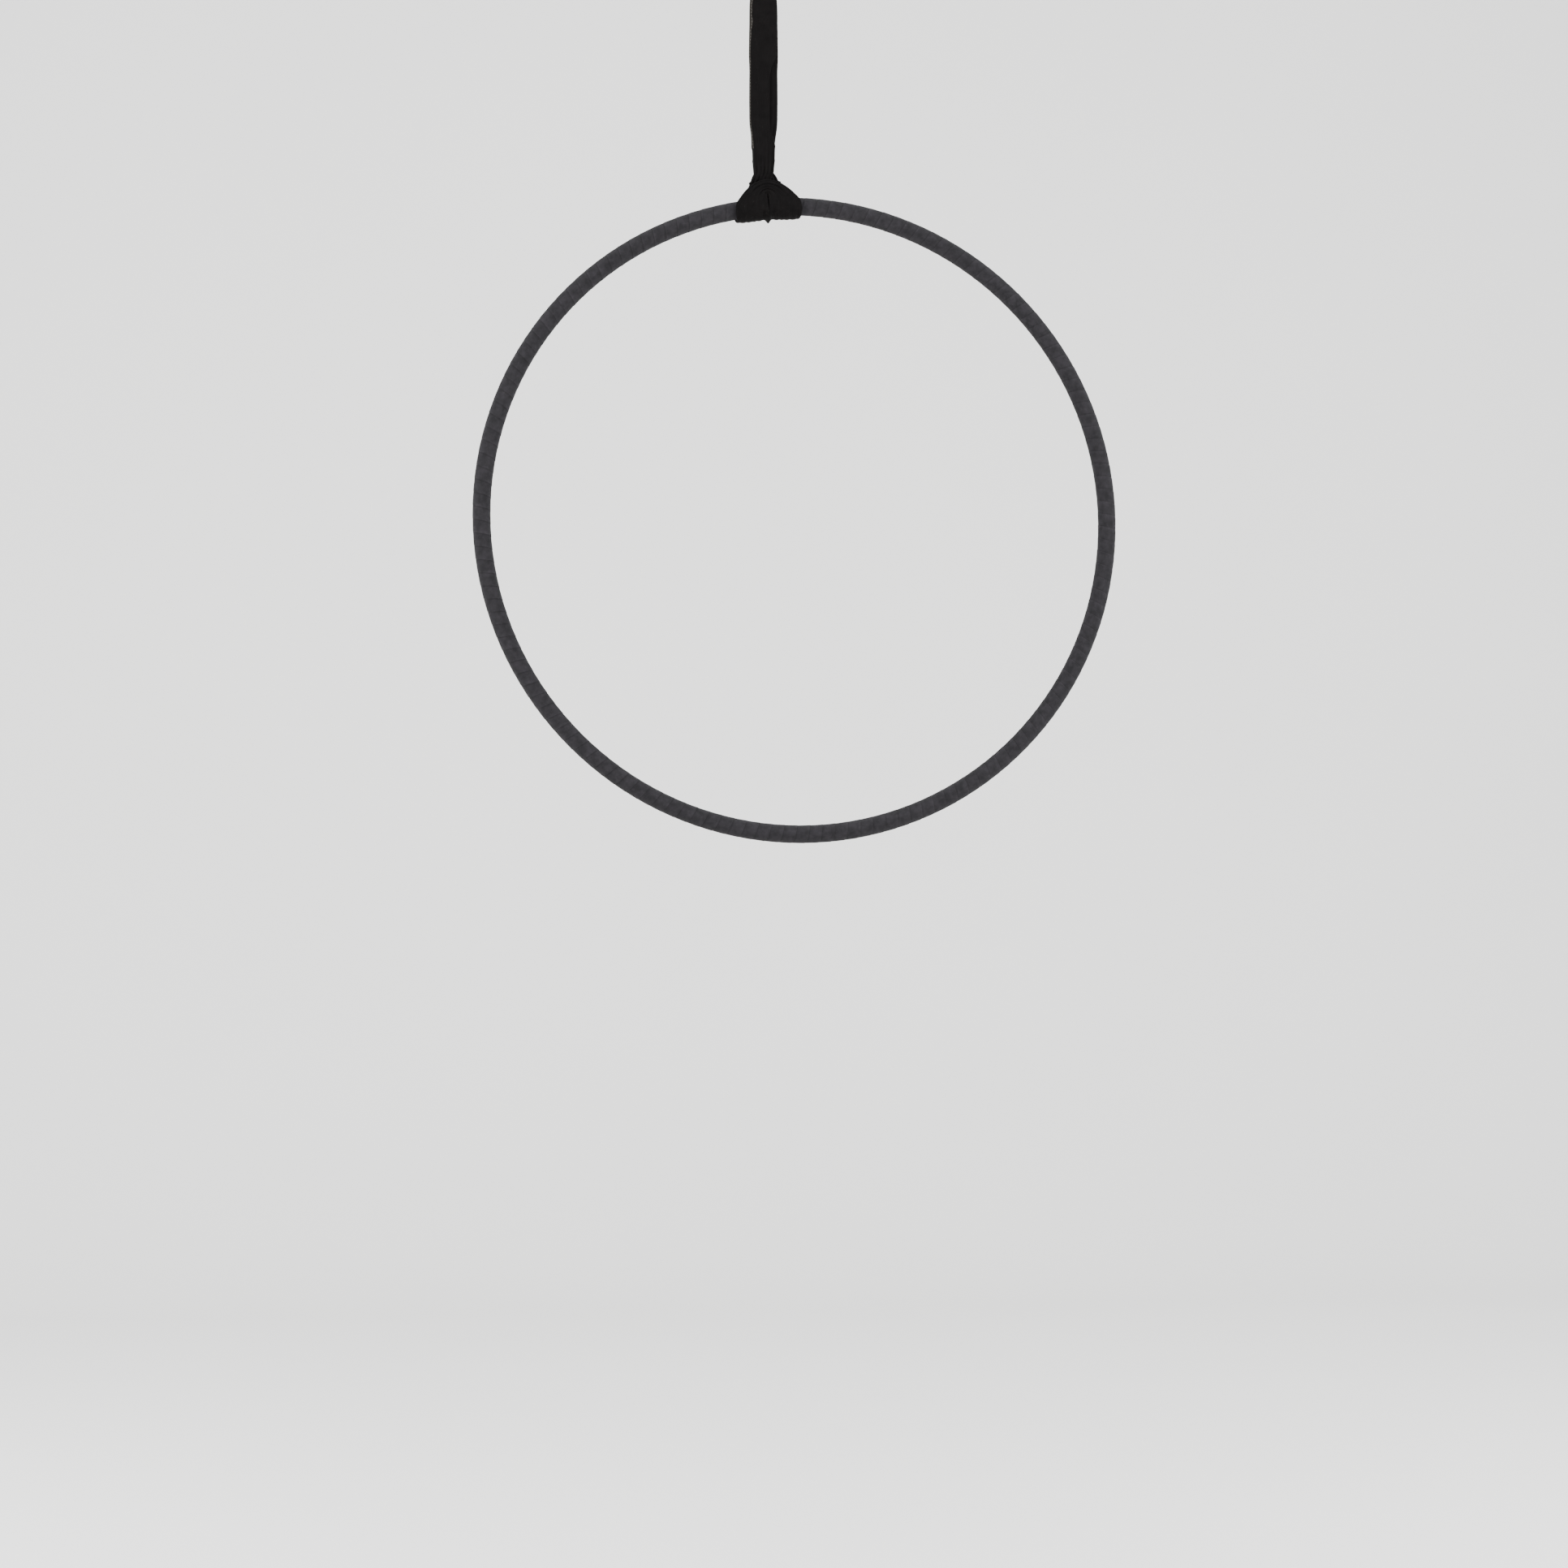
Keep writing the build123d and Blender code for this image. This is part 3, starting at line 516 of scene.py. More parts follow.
def band_rows(left, right, normals, half_thicknesses, lengths, folds, creases, edges, lift_by, seed):
    """Rows round a flattened bundle between its two edge lines. folds, creases and edges are heights along
    its length, in metres: of the gathers that run with it, of the creases that cross its edges, and of its
    edges' wander. lift_by gives how far the whole section bends out, from each point's place across it."""
    centres = (left + right) / 2
    half_widths = np.linalg.norm(right - left, axis=-1) / 2
    sides = unit(right - left)
    normals = unit(normals - (normals * sides).sum(-1, keepdims=True) * sides)

    # Every row is a rounded box: across runs from edge to edge, and up from face to face
    angle = np.linspace(0, math.tau, BAND_AROUND, endpoint=False)
    cosine, sine = np.cos(angle)[None], np.sin(angle)[None]
    across = np.sign(cosine) * np.abs(cosine) ** (2 / SECTION_POWER)
    up = np.sign(sine) * np.abs(sine) ** (2 / SECTION_POWER)

    # Gathers run along the bundle and drift from side to side
    drift = wander(lengths / DRIFT_LENGTH, seed) * ramp(np.abs(lengths), 0, 20 * MM)
    place = across + 0.16 * np.sin(2.3 * across)
    fold_turn = math.pi * FOLDS_ACROSS * place / 2 + 0.6 * drift[:, None]
    fold = folds[:, None] * (np.abs(np.sin(fold_turn)) ** 0.8 - FOLD_VALLEY) * np.abs(sine) ** 0.5

    # Creases stand out at the edges
    crease = np.maximum(0.0, wander(lengths / EDGE_CREASE_LENGTH, seed + 1)) ** 1.5
    outwards = creases * crease * 2.2 + edges * wander(lengths / EDGE_LENGTH, seed + 2)
    x = half_widths[:, None] * across + np.sign(across) * np.abs(cosine) ** 5 * outwards[:, None]
    y = (half_thicknesses[:, None] * np.abs(up) + fold) * np.sign(up)
    cross_crease = wander(lengths / CROSS_CREASE_LENGTH, seed + 3)[:, None] * np.abs(across) ** 3
    y += creases[:, None] * 0.35 * cross_crease
    y += lift_by(x, across)
    return centres[:, None] + sides[:, None] * x[..., None] + normals[:, None] * y[..., None]


# Sling


SLING_STATIONS = [
    # height over the throat, distance from the middle plane, half width, half thickness, all in mm
    (-12.0, 4.6, 15.6, 4.8),
    (0.0, 4.6, 14.75, 4.6),
    (12.0, 4.5, 15.7, 4.4),
    (34.0, 4.2, 16.3, 4.0),
    (52.0, 3.8, 18.0, 3.6),
    (70.0, 3.6, 19.6, 3.4),
    (100.0, 3.5, 20.0, 3.25),
    (140.0, 3.5, 20.0, 3.25),
    (180.0, 3.5, 20.0, 3.25),
    (220.0, 3.5, 20.0, 3.25),
    (251.0, 3.6, 19.6, 3.3),
    (284.0, 5.4, 17.6, 3.8),
    (310.0, 9.0, 15.2, 3.9),
    (326.0, 10.6, 13.6, 3.8),
]
SLING_ROWS = 12
CROWN_STEPS = 5
LEG_SHIFT = 1.4 * MM
LEG_CLOTH = 84 * MM
BOW_INSIDE_RADIUS = 16.2 * MM


def bow_dish(x):
    """How much higher the bow's inside lies at a distance from its middle."""
    reach = np.minimum(np.abs(x), BOW_INSIDE_RADIUS * 0.9)
    return BOW_INSIDE_RADIUS - np.sqrt(BOW_INSIDE_RADIUS**2 - reach**2)


def sling_line():
    """The sling's line from the throat up the front leg, over the bar and down the rear leg."""
    legs = [(z * MM, y * MM, w * MM, t * MM) for z, y, w, t in SLING_STATIONS]
    stations = [(-y, NECK.z + z, w, t, -1.0, 0.0) for z, y, w, t in legs]
    _, top_out, top_width, top_thickness = legs[-1]
    for turn in np.linspace(0, math.pi, CROWN_STEPS + 2)[1:-1]:
        out, up = -math.cos(turn), math.sin(turn)
        stations.append((top_out * out, BAR.z + top_out * up, top_width, top_thickness, out, up))
    stations += [(y, NECK.z + z, w, t, 1.0, 0.0) for z, y, w, t in reversed(legs)]
    return run_through(stations, SLING_ROWS)


def strap_rows(settings):
    """The strap's rows of points, with their lengths along it, their heights over the throat, and which of
    them are in front."""
    line = sling_line()
    height = line[:, 1] - NECK.z
    front = line[:, 4] < 0
    lengths = running_lengths(line[:, :2])
    from_throat = np.where(front, lengths, lengths[-1] - lengths)
    # The legs lie a little to each side of each other, but not at the throat and the crown
    flat = ramp(height, 40 * MM, 80 * MM) * ramp(height, 290 * MM, 250 * MM)
    shift = np.where(front, -1.0, 1.0) * LEG_SHIFT * flat
    left = np.stack([shift - line[:, 2], line[:, 0], line[:, 1]], axis=-1)
    right = np.stack([shift + line[:, 2], line[:, 0], line[:, 1]], axis=-1)
    normals = np.stack([np.zeros(len(line)), line[:, 4], line[:, 5]], axis=-1)
    # The cover is gathered at the throat and at the crown, and creased just over the throat
    at_crown = np.exp(-(((height - STRAP_LENGTH) / (30 * MM)) ** 2))
    gather = np.exp(-from_throat / (45 * MM)) + 0.8 * at_crown
    folds = settings.fold * (0.10 + 0.9 * np.clip(gather, 0, 1))
    over_throat = np.exp(-(((height - 20 * MM) / (20 * MM)) ** 2)) * ramp(height, 0, 10 * MM)
    creases = settings.crumple * 0.3 * over_throat
    edges = settings.pucker * ramp(from_throat, 0, 50 * MM)
    crown = ramp(height, STRAP_LENGTH - 30 * MM, STRAP_LENGTH)[:, None]

    def crown_dish(x, across):
        """The crown takes the shape of the bow that it hangs on."""
        return crown * bow_dish(x)

    rows = band_rows(
        left, right, normals, line[:, 3], from_throat, folds, creases, edges, crown_dish, seed=11
    )
    tuck_front_edge(rows, height, front)
    rows[0, :, 2] = NECK.z
    rows[-1, :, 2] = NECK.z
    return rows, lengths, height, front


def sling_strap(rows, lengths, material):
    """Both legs and the crown over the shackle's bar, as one closed tube."""
    piece = mesh_object("sling_strap", skin_mesh("sling_strap", rows, LEG_CLOTH, lengths), material)
    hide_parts("sling_loop")
    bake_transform(piece)


SEAM_FROM_THROAT = 34 * MM
SEAM_WALL = 0.5 * MM
SEAM_CLOTH = 18 * MM
SEAM_POINTS = 20
# Columns of a row: 56 is its left edge, and those before it lie on the leg's outer face
SEAM_INNER_COLUMN = 47.0
SEAM_OUTER_COLUMN = 59.0
LOOSE_COLUMNS = 4.5
STITCH_COLUMNS = 2.6


def cover_seam(rows, lengths, height, front, material, thread):
    """The cover's seam along its left edge: cloth lapped over the edge, and a row of stitches. Its inner edge
    is frayed, and loose near the top of the front leg."""
    chosen = height > SEAM_FROM_THROAT
    rows, lengths, height, front = rows[chosen], lengths[chosen], height[chosen], front[chosen]
    middles = rows.mean(axis=1, keepdims=True)
    round_it = np.roll(rows, -1, axis=1) - np.roll(rows, 1, axis=1)
    outwards = unit(np.cross(round_it, np.gradient(rows, axis=0)))
    outwards *= np.sign(((rows - middles) * outwards).sum(axis=(1, 2), keepdims=True))
    loose = ramp(height, 190 * MM, 215 * MM) * front
    fray = (0.5 + 1.6 * loose) * wander(lengths / (5.2 * MM), 31)
    inner_column = SEAM_INNER_COLUMN - LOOSE_COLUMNS * loose + fray

    def at_columns(columns):
        """Points and directions on the strap's surface, at places between its columns."""
        whole = np.floor(columns).astype(int)
        part = (columns - whole)[..., None]
        index = np.arange(len(rows))[:, None]
        points = rows[index, whole] * (1 - part) + rows[index, whole + 1] * part
        directions = unit(outwards[index, whole] * (1 - part) + outwards[index, whole + 1] * part)
        return points, directions

    share = np.linspace(0, 1, SEAM_POINTS)
    points, directions = at_columns(
        inner_column[:, None] + (SEAM_OUTER_COLUMN - inner_column)[:, None] * share
    )
    rounding = (1 - np.abs(2 * share - 1) ** 10)[None, :, None]
    lifted = points + directions * (0.15 * MM + SEAM_WALL * (0.35 + 0.65 * rounding))
    under = points - directions * 0.3 * MM
    seam = np.concatenate([lifted, under[:, ::-1]], axis=1)
    mesh = skin_mesh("sling_cover_seam", seam, SEAM_CLOTH, lengths)
    # The lapped cloth takes the paler seam material, a painted highlight along the edge
    piece = mesh_object("sling_cover_seam", mesh, material)
    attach(piece, "sling")
    line, directions = at_columns((inner_column + STITCH_COLUMNS)[:, None])
    line = (line + directions * (SEAM_WALL + 0.2 * MM))[:, 0]
    inputs = {"Spacing": 4.6 * MM, "Stitch": 3.4 * MM, "Thread": 0.8 * MM}
    mesh = grown_mesh("sling_seam_stitches", stitch_tree(thread), inputs, path=line)
    piece = mesh_object("sling_seam_stitches", mesh, thread)
    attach(piece, "sling")


def stitch_tree(material):
    """Geometry nodes for a row of stitches: a short bead of thread at every step along the path."""
    sockets = {"Path": "Geometry", "Spacing": "Float", "Stitch": "Float", "Thread": "Float"}
    tree, known = new_node_group("row_of_stitches", sockets)
    curve = add_node(tree, "GeometryNodeMeshToCurve", links={"Mesh": known["Path"]})
    points = add_node(
        tree,
        "GeometryNodeCurveToPoints",
        {"mode": "LENGTH"},
        links={"Curve": (curve, "Curve"), "Length": known["Spacing"]},
    )
    turned = add_node(
        tree, "FunctionNodeAlignRotationToVector", {"axis": "Z"}, links={"Vector": (points, "Tangent")}
    )
    halves = [("half stitch", "MULTIPLY", "Stitch", 0.5), ("half thread", "MULTIPLY", "Thread", 0.5)]
    add_sums(tree, known, halves)
    size = add_node(
        tree,
        "ShaderNodeCombineXYZ",
        links={"X": known["half thread"], "Y": known["half thread"], "Z": known["half stitch"]},
    )
    bead = add_node(tree, "GeometryNodeMeshUVSphere", values={"Segments": 6, "Rings": 5, "Radius": 1.0})
    row = add_node(
        tree,
        "GeometryNodeInstanceOnPoints",
        links={
            "Points": (points, "Points"),
            "Instance": (bead, "Mesh"),
            "Rotation": (turned, "Rotation"),
            "Scale": (size, "Vector"),
        },
    )
    finish_node_group(tree, (row, "Instances"), material)
    return tree


TUCK_WIDTH = 14.5 * MM


def tuck_front_edge(rows, height, front):
    """The front leg's right edge is folded in for a hand's breadth, so the rear leg shows beside it."""
    rise = ease(ramp(height, 180 * MM, 134 * MM))
    fall = ease(ramp(height, 34 * MM, 74 * MM))
    tuck = rise * fall * TUCK_WIDTH * front
    x = rows[..., 0]
    share = np.clip(x / (19 * MM), 0, 1.2) ** 3
    rows[..., 0] = x - tuck[:, None] * share


# Hitch


HITCH_STATIONS = [
    # Outer edge, inner edge, half thickness and outward normal, in mm. x runs along the tube, y across it
    # and z over its centreline
    (-14.75, -4.6, 65.0, 14.75, -4.6, 65.0, 4.6, 0, 1, 0),
    (-14.75, -4.6, 53.0, 14.75, -4.6, 53.0, 4.6, 0, 1, 0),
    (-18.6, -3.6, 44.5, 10.0, -3.2, 41.5, 5.2, 0, 1, 0),
    (-23.2, 0.6, 34.5, 4.4, 0.6, 30.0, 5.5, 0, 1, 0.2),
    (-28.6, 7.4, 25.5, 2.2, 7.6, 18.0, 5.0, 0, 1, 0.35),
    (-39.2, 13.4, 15.4, 1.2, 14.2, 8.0, 3.8, 0, 0.86, 0.5),
    (-48.6, 16.3, 1.0, 0.2, 16.3, -1.0, 3.0, 0, 1, 0),
    (-48.8, 14.2, -8.2, -0.4, 14.2, -8.2, 3.0, 0, 0.87, -0.5),
    (-48.0, 8.1, -14.0, -0.4, 8.1, -14.0, 2.8, 0, 0.5, -0.87),
    (-47.2, 0.0, -16.1, -0.4, 0.0, -16.1, 2.7, 0, 0, -1),
    (-48.0, -8.1, -14.0, -0.4, -8.1, -14.0, 2.8, 0, -0.5, -0.87),
    (-48.8, -14.2, -8.2, -0.4, -14.2, -8.2, 3.0, 0, -0.87, -0.5),
    (-49.0, -16.5, 0.0, -0.4, -16.5, 0.0, 3.1, 0, -1, 0),
    (-47.0, -16.4, 8.0, -0.4, -16.5, 7.0, 3.6, 0, -1, 0.1),
    (-39.4, -15.2, 17.0, -0.4, -15.4, 11.5, 4.3, 0, -1, 0.15),
    (-30.4, -13.6, 25.5, -0.3, -14.2, 13.4, 4.9, 0, -1, 0.2),
    (-17.6, -11.8, 34.0, -0.2, -13.2, 14.4, 5.3, 0, -1, 0.2),
    (0.0, -10.6, 38.4, 0.0, -12.6, 14.6, 5.5, 0, -1, 0.2),
]
HITCH_ROWS = 14
HITCH_CLOTH = 90 * MM
# The legs lie apart by this much at the crossing's top, and beside each other under its foot, in mm
LEG_APART = 9.2
CROSSING_FOOT = 17.0
CROSSING_TOP = 53.0


def on_hoop(x, y, z):
    """World places of points given along the tube, across it and over its centreline."""
    turn = x / (RING_RADIUS + z) - LEAN
    reach = RING_RADIUS + z
    over, beside = reach * np.cos(turn), reach * np.sin(turn)
    return np.stack([HOOP_CENTRE.x + beside, HOOP_CENTRE.y + y, HOOP_CENTRE.z + over], axis=-1)


def hitch_line():
    """The sling's line: from the front leg's throat behind the tube, round it, across the front as the bight,
    round again and up the rear leg."""

    def rear(y, z):
        """The rear leg lies behind the front one at the throat, and beside it further down."""
        return y + LEG_APART * ramp(z, CROSSING_FOOT, CROSSING_TOP)

    stations = [list(station) for station in HITCH_STATIONS]
    for ox, oy, oz, ix, iy, iz, thickness, nx, ny, nz in reversed(HITCH_STATIONS[:-1]):
        if ny > 0:
            oy, iy = rear(oy, oz), rear(iy, iz)
        stations.append([-ox, oy, oz, -ix, iy, iz, thickness, nx, ny, nz])
    return run_through(stations, HITCH_ROWS)


def sling_hitch(settings, material):
    """The girth hitch as one unbroken band: two wraps, the legs' spread behind and the bight in front."""
    line = hitch_line()
    line[:, :7] *= MM
    outer = on_hoop(*line[:, 0:3].T)
    inner = on_hoop(*line[:, 3:6].T)
    turn = (line[:, 0] + line[:, 3]) / 2 / RING_RADIUS - LEAN
    up = np.stack([np.sin(turn), np.zeros(len(turn)), np.cos(turn)], axis=-1)
    normals = line[:, 8:9] * np.array([0.0, 1.0, 0.0]) + line[:, 9:10] * up
    lengths = running_lengths((outer + inner) / 2)
    from_throat = np.minimum(lengths, lengths[-1] - lengths)
    # Thick rows are gathered, and creases cross the flanks behind the tube
    gathered = np.maximum(0.25, ramp(line[:, 6], 3.0 * MM, 5.2 * MM))
    leaving = ramp(from_throat, 0, 8 * MM)
    folds = settings.fold * (1 - leaving * (0.72 - 0.5 * gathered))
    on_flank = ramp(line[:, 2], 4 * MM, 14 * MM) * ramp(line[:, 1], -4 * MM, 1 * MM)
    creases = settings.crumple * leaving * on_flank
    edges = settings.pucker * leaving
    under = ramp(line[:, 2], 0, -8 * MM)[:, None]

    def meeting_ridge(x, across):
        """Under the tube the two wraps press their inner edges into a ridge."""
        return settings.ridge * under * ramp(across, 0.78, 1.0) ** 1.6

    rows = band_rows(
        outer, inner, normals, line[:, 6], from_throat, folds, creases, edges, meeting_ridge, seed=23
    )
    rows[0, :, 2] = NECK.z
    rows[-1, :, 2] = NECK.z
    mesh = skin_mesh("sling_hitch_band", rows, HITCH_CLOTH, lengths)
    piece = mesh_object("sling_hitch_band", mesh, material)
    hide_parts("sling_hitch", "sling_neck")
    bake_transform(piece)


# Tape


ROWS_PER_TURN = 8
TAPE_AROUND = 32
# How far the rows of a turn bunch up at its edge, from 0 to 1
EDGE_BUNCHING = 0.92
RIPPLE_LENGTH = 30 * MM


def tape_tree(material):
    """Geometry nodes for tape wound on a curved tube: a sheared grid whose lines follow the turns."""
    sockets = {
        "Ring Radius": "Float",
        "Wound Radius": "Float",
        "Start": "Float",
        "Sweep": "Float",
        "Turns": "Int",
        "Step": "Float",
        "Ripple": "Float",
        "Centre": "Vector",
        "Seed": "Int",
    }
    tree, known = new_node_group("wound_tape", sockets)
    # The lines are slanted, so the grid runs one turn further than the tape and is held back at both ends
    sums = [
        ("spans", "ADD", "Turns", 1.0),
        ("rows", "MULTIPLY_ADD", "spans", float(ROWS_PER_TURN), 1.0),
    ]
    add_sums(tree, known, sums)
    grid = add_node(
        tree,
        "GeometryNodeMeshGrid",
        values={"Size X": 1.0, "Size Y": 1.0, "Vertices Y": TAPE_AROUND + 1},
        links={"Vertices X": known["rows"]},
    )
    place = add_node(tree, "GeometryNodeInputPosition")
    split = add_node(tree, "ShaderNodeSeparateXYZ", links={"Vector": (place, "Position")})
    known["grid x"], known["grid y"] = (split, "X"), (split, "Y")
    sums = [
        ("along share", "ADD", "grid x", 0.5),
        ("along", "MULTIPLY", "along share", "spans"),
        ("round share", "ADD", "grid y", 0.5),
        # The small shift keeps rows that lie on a turn's edge on its high side
        ("shifted", "ADD", "along", 0.001),
        ("part", "FRACT", "shifted"),
        ("whole", "FLOOR", "shifted"),
        # Rows bunch up at a turn's edge, so that it is sharp
        ("part angle", "MULTIPLY", "part", math.tau),
        ("part sine", "SINE", "part angle"),
        ("bunch", "MULTIPLY", "part sine", -EDGE_BUNCHING / math.tau),
        ("eased", "ADD", "part", "bunch"),
        ("row turn", "ADD", "whole", "eased"),
        ("slanted turn", "ADD", "row turn", "round share"),
        ("free turn", "SUBTRACT", "slanted turn", 1.0),
        ("started turn", "MAXIMUM", "free turn", 0.0),
        ("turn", "MINIMUM", "started turn", "Turns"),
        ("after start", "GREATER_THAN", "free turn", 0.0),
        ("before end", "LESS_THAN", "free turn", "Turns"),
        ("inside", "MULTIPLY", "after start", "before end"),
        ("share", "DIVIDE", "turn", "Turns"),
        ("ring angle", "MULTIPLY_ADD", "share", "Sweep", "Start"),
        ("ring sine", "SINE", "ring angle"),
        ("ring cosine", "COSINE", "ring angle"),
        ("tube angle", "MULTIPLY", "round share", math.tau),
        ("tube sine", "SINE", "tube angle"),
        ("tube cosine", "COSINE", "tube angle"),
        ("rise", "SUBTRACT", 0.5, "eased"),
        ("held rise", "MULTIPLY", "rise", "inside"),
        ("lap", "MULTIPLY", "held rise", "Step"),
        ("length", "MULTIPLY", "ring angle", "Ring Radius"),
        ("girth", "MULTIPLY", "tube angle", "Wound Radius"),
    ]
    add_sums(tree, known, sums)

    def at_radius(radius):
        """Places on the tube at a radius that is known by name."""
        sums = [
            ("out", "MULTIPLY_ADD", "tube cosine", radius, "Ring Radius"),
            ("x", "MULTIPLY", "out", "ring sine"),
            ("y", "MULTIPLY", "tube sine", radius),
            ("z", "MULTIPLY", "out", "ring cosine"),
        ]
        add_sums(tree, known, sums)
        links = {"X": known["x"], "Y": known["y"], "Z": known["z"]}
        return add_node(tree, "ShaderNodeCombineXYZ", links=links), 0

    noise = add_node(
        tree,
        "ShaderNodeTexNoise",
        {"noise_dimensions": "4D"},
        {"Scale": 1 / RIPPLE_LENGTH, "Detail": 2.0},
        {"Vector": at_radius("Wound Radius"), "W": known["Seed"]},
    )
    known["noise"] = (noise, "Fac")
    sums = [
        ("swing", "SUBTRACT", "noise", 0.5),
        ("ripple", "MULTIPLY", "swing", "Ripple"),
        ("lapped radius", "ADD", "Wound Radius", "lap"),
        ("radius", "ADD", "lapped radius", "ripple"),
    ]
    add_sums(tree, known, sums)
    final = add_node(
        tree,
        "ShaderNodeVectorMath",
        {"operation": "ADD"},
        links={0: at_radius("radius"), 1: known["Centre"]},
    )
    uv = add_node(tree, "ShaderNodeCombineXYZ", links={"X": known["length"], "Y": known["girth"]})
    stored = add_node(
        tree,
        "GeometryNodeStoreNamedAttribute",
        {"data_type": "FLOAT2", "domain": "CORNER"},
        {"Name": "UVMap"},
        {"Geometry": (grid, "Mesh"), "Value": (uv, 0)},
    )
    marked = add_node(
        tree,
        "GeometryNodeStoreNamedAttribute",
        {"data_type": "FLOAT", "domain": "POINT"},
        {"Name": "turn_share"},
        {"Geometry": (stored, "Geometry"), "Value": known["eased"]},
    )
    moved = add_node(
        tree, "GeometryNodeSetPosition", links={"Geometry": (marked, "Geometry"), "Position": (final, 0)}
    )
    merged = add_node(
        tree,
        "GeometryNodeMergeByDistance",
        values={"Distance": 2e-6},
        links={"Geometry": (moved, "Geometry")},
    )
    finish_node_group(tree, (merged, "Geometry"), material)
    return tree


def grip_tapes(settings, material):
    """Two lengths of tape, from the hoop's foot up each side to the hitch."""
    tree = tape_tree(material)
    # The tape's inside stays a little clear of the tube
    wall = (TAPE_RADIUS - TUBE_RADIUS - settings.step / 2) * 0.8
    turns = round(math.pi * RING_RADIUS / settings.lap)
    for name, start, seed in (("grip_tape_right", 0.0, 3), ("grip_tape_left", math.pi, 7)):
        inputs = {
            "Ring Radius": RING_RADIUS,
            "Wound Radius": TAPE_RADIUS,
            "Start": start - LEAN,
            "Sweep": math.pi,
            "Turns": turns,
            "Step": settings.step,
            "Ripple": settings.ripple,
            "Centre": tuple(HOOP_CENTRE),
            "Seed": seed,
        }
        mesh = grown_mesh("wound_" + name, tree, inputs, wall=wall)
        piece = mesh_object("wound_" + name, mesh, material)
        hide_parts(name)
        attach(piece, "hoop")


# Stage


# Soft lights: name, place from the hoop's centre, size and power
LIGHTS = (
    ("key", (2.9, -2.4, 0.7), 2.2, 250),
    ("left", (-3.0, -1.4, 0.6), 2.4, 210),
    ("top", (0.0, -0.2, 3.2), 2.6, 50),
)
ROOM_LIGHT = {"Color": (0.95, 0.97, 1.0, 1.0), "Strength": 1.5}


def look_direction(azimuth, elevation):
    """The unit vector from the hoop's centre to a camera at these angles in degrees."""
    a, e = math.radians(azimuth), math.radians(elevation)
    return Vector((math.sin(a) * math.cos(e), -math.cos(a) * math.cos(e), math.sin(e)))


def area_light(name, place, aim, size, power):
    """A square soft light at a place, turned to its aim."""
    data = bpy.data.lights.new(name, "AREA")
    data.size = size
    data.energy = power
    lamp = bpy.data.objects.new(name, data)
    bpy.context.scene.collection.objects.link(lamp)
    lamp.location = place
    lamp.rotation_euler = (aim - place).to_track_quat("-Z", "Y").to_euler()


def backdrop(settings, material):
    """One sheet of paper: a floor that curves up into a wall."""
    floor = HOOP_CENTRE.z - RING_RADIUS - TUBE_RADIUS - settings.floor_drop
    bend, width, wall_y, front_y, top = 1.2, 16.0, 3.4, -9.0, 5.0
    profile = [(front_y, floor), (wall_y - bend, floor)]
    for i in range(1, 13):
        turn = math.pi / 2 * i / 12
        profile.append((wall_y - bend + bend * math.sin(turn), floor + bend - bend * math.cos(turn)))
    profile.append((wall_y, floor + top))
    vertices = [(x, y, z) for y, z in profile for x in (-width / 2, width / 2)]
    faces = [(2 * i, 2 * i + 1, 2 * i + 3, 2 * i + 2) for i in range(len(profile) - 1)]
    mesh = bpy.data.meshes.new("backdrop")
    mesh.from_pydata(vertices, [], faces)
    mesh_object("backdrop", mesh, material)


# Operators


class LYRA_OT_tube(bpy.types.Operator):
    """Finish the hoop's steel tube, its inner sleeve and its welds"""

    bl_idname = "lyra.tube"
    bl_label = "Hoop tube"

    def execute(self, context):
        # Cold-drawn steel: even grey with fine drawing grain
        steel = worn_metal("cold_drawn_steel", linear("8A8C8E"), 0.42, 20.0, 0.6, 0.02)
        finish_node("hoop_tube", steel)
        finish_node("joint_spigot", steel)
        # Weld metal, ground flush: darker, with coarse grinding marks
        weld = worn_metal("ground_weld", linear("6E6B66"), 0.5, 2.0, 0.8, 0.08, contrast=0.6)
        finish_node("joint_weld", weld)
        finish_node("plug_welds", weld)
        return {"FINISHED"}


class LYRA_OT_tape(bpy.types.Operator):
    """Wind the hoop with two lengths of cloth tape"""

    bl_idname = "lyra.tape"
    bl_label = "Grip tape"

    def execute(self, context):
        settings = context.scene.lyra_tape
        grip_tapes(settings, cotton_tape(settings))
        return {"FINISHED"}


class LYRA_OT_sling(bpy.types.Operator):
    """Hang the hoop on its round sling, hitched round the tube"""

    bl_idname = "lyra.sling"
    bl_label = "Round sling"

    def execute(self, context):
        settings = context.scene.lyra_sling
        cover = polyester_cover(settings, "polyester_sling_cover", settings.colour)
        # The seam's cloth is a paler copy of the cover: a painted highlight along its lapped edge
        seam_highlight_cover = polyester_cover(settings, "polyester_seam_painted_highlight", settings.seam_highlight_colour)
        rows, lengths, height, front = strap_rows(settings)
        sling_strap(rows, lengths, cover)
        cover_seam(rows, lengths, height, front, seam_highlight_cover, sewing_thread(settings))
        sling_hitch(settings, cover)
        return {"FINISHED"}


class LYRA_OT_shackle(bpy.types.Operator):
    """Finish the bow shackle with its bolt, nut and split pin"""

    bl_idname = "lyra.shackle"
    bl_label = "Bow shackle"

    def execute(self, context):
        settings = context.scene.lyra_fittings
        # Hot-dip zinc on a forging: dull, with soft spangle and a slightly uneven skin
        zinc = worn_metal("hot_dip_zinc", settings.zinc, 0.48, 7.0, 1.6, 0.10, contrast=0.72)
        for node in ("shackle_bow", "shackle_bolt", "shackle_nut"):
            finish_node(node, zinc)
        # Electroplated zinc: brighter and smoother
        bright = worn_metal("bright_zinc_plate", settings.bright_zinc, 0.30, 4.0, 0.5, 0.02)
        finish_node("shackle_cotter", bright)
        return {"FINISHED"}


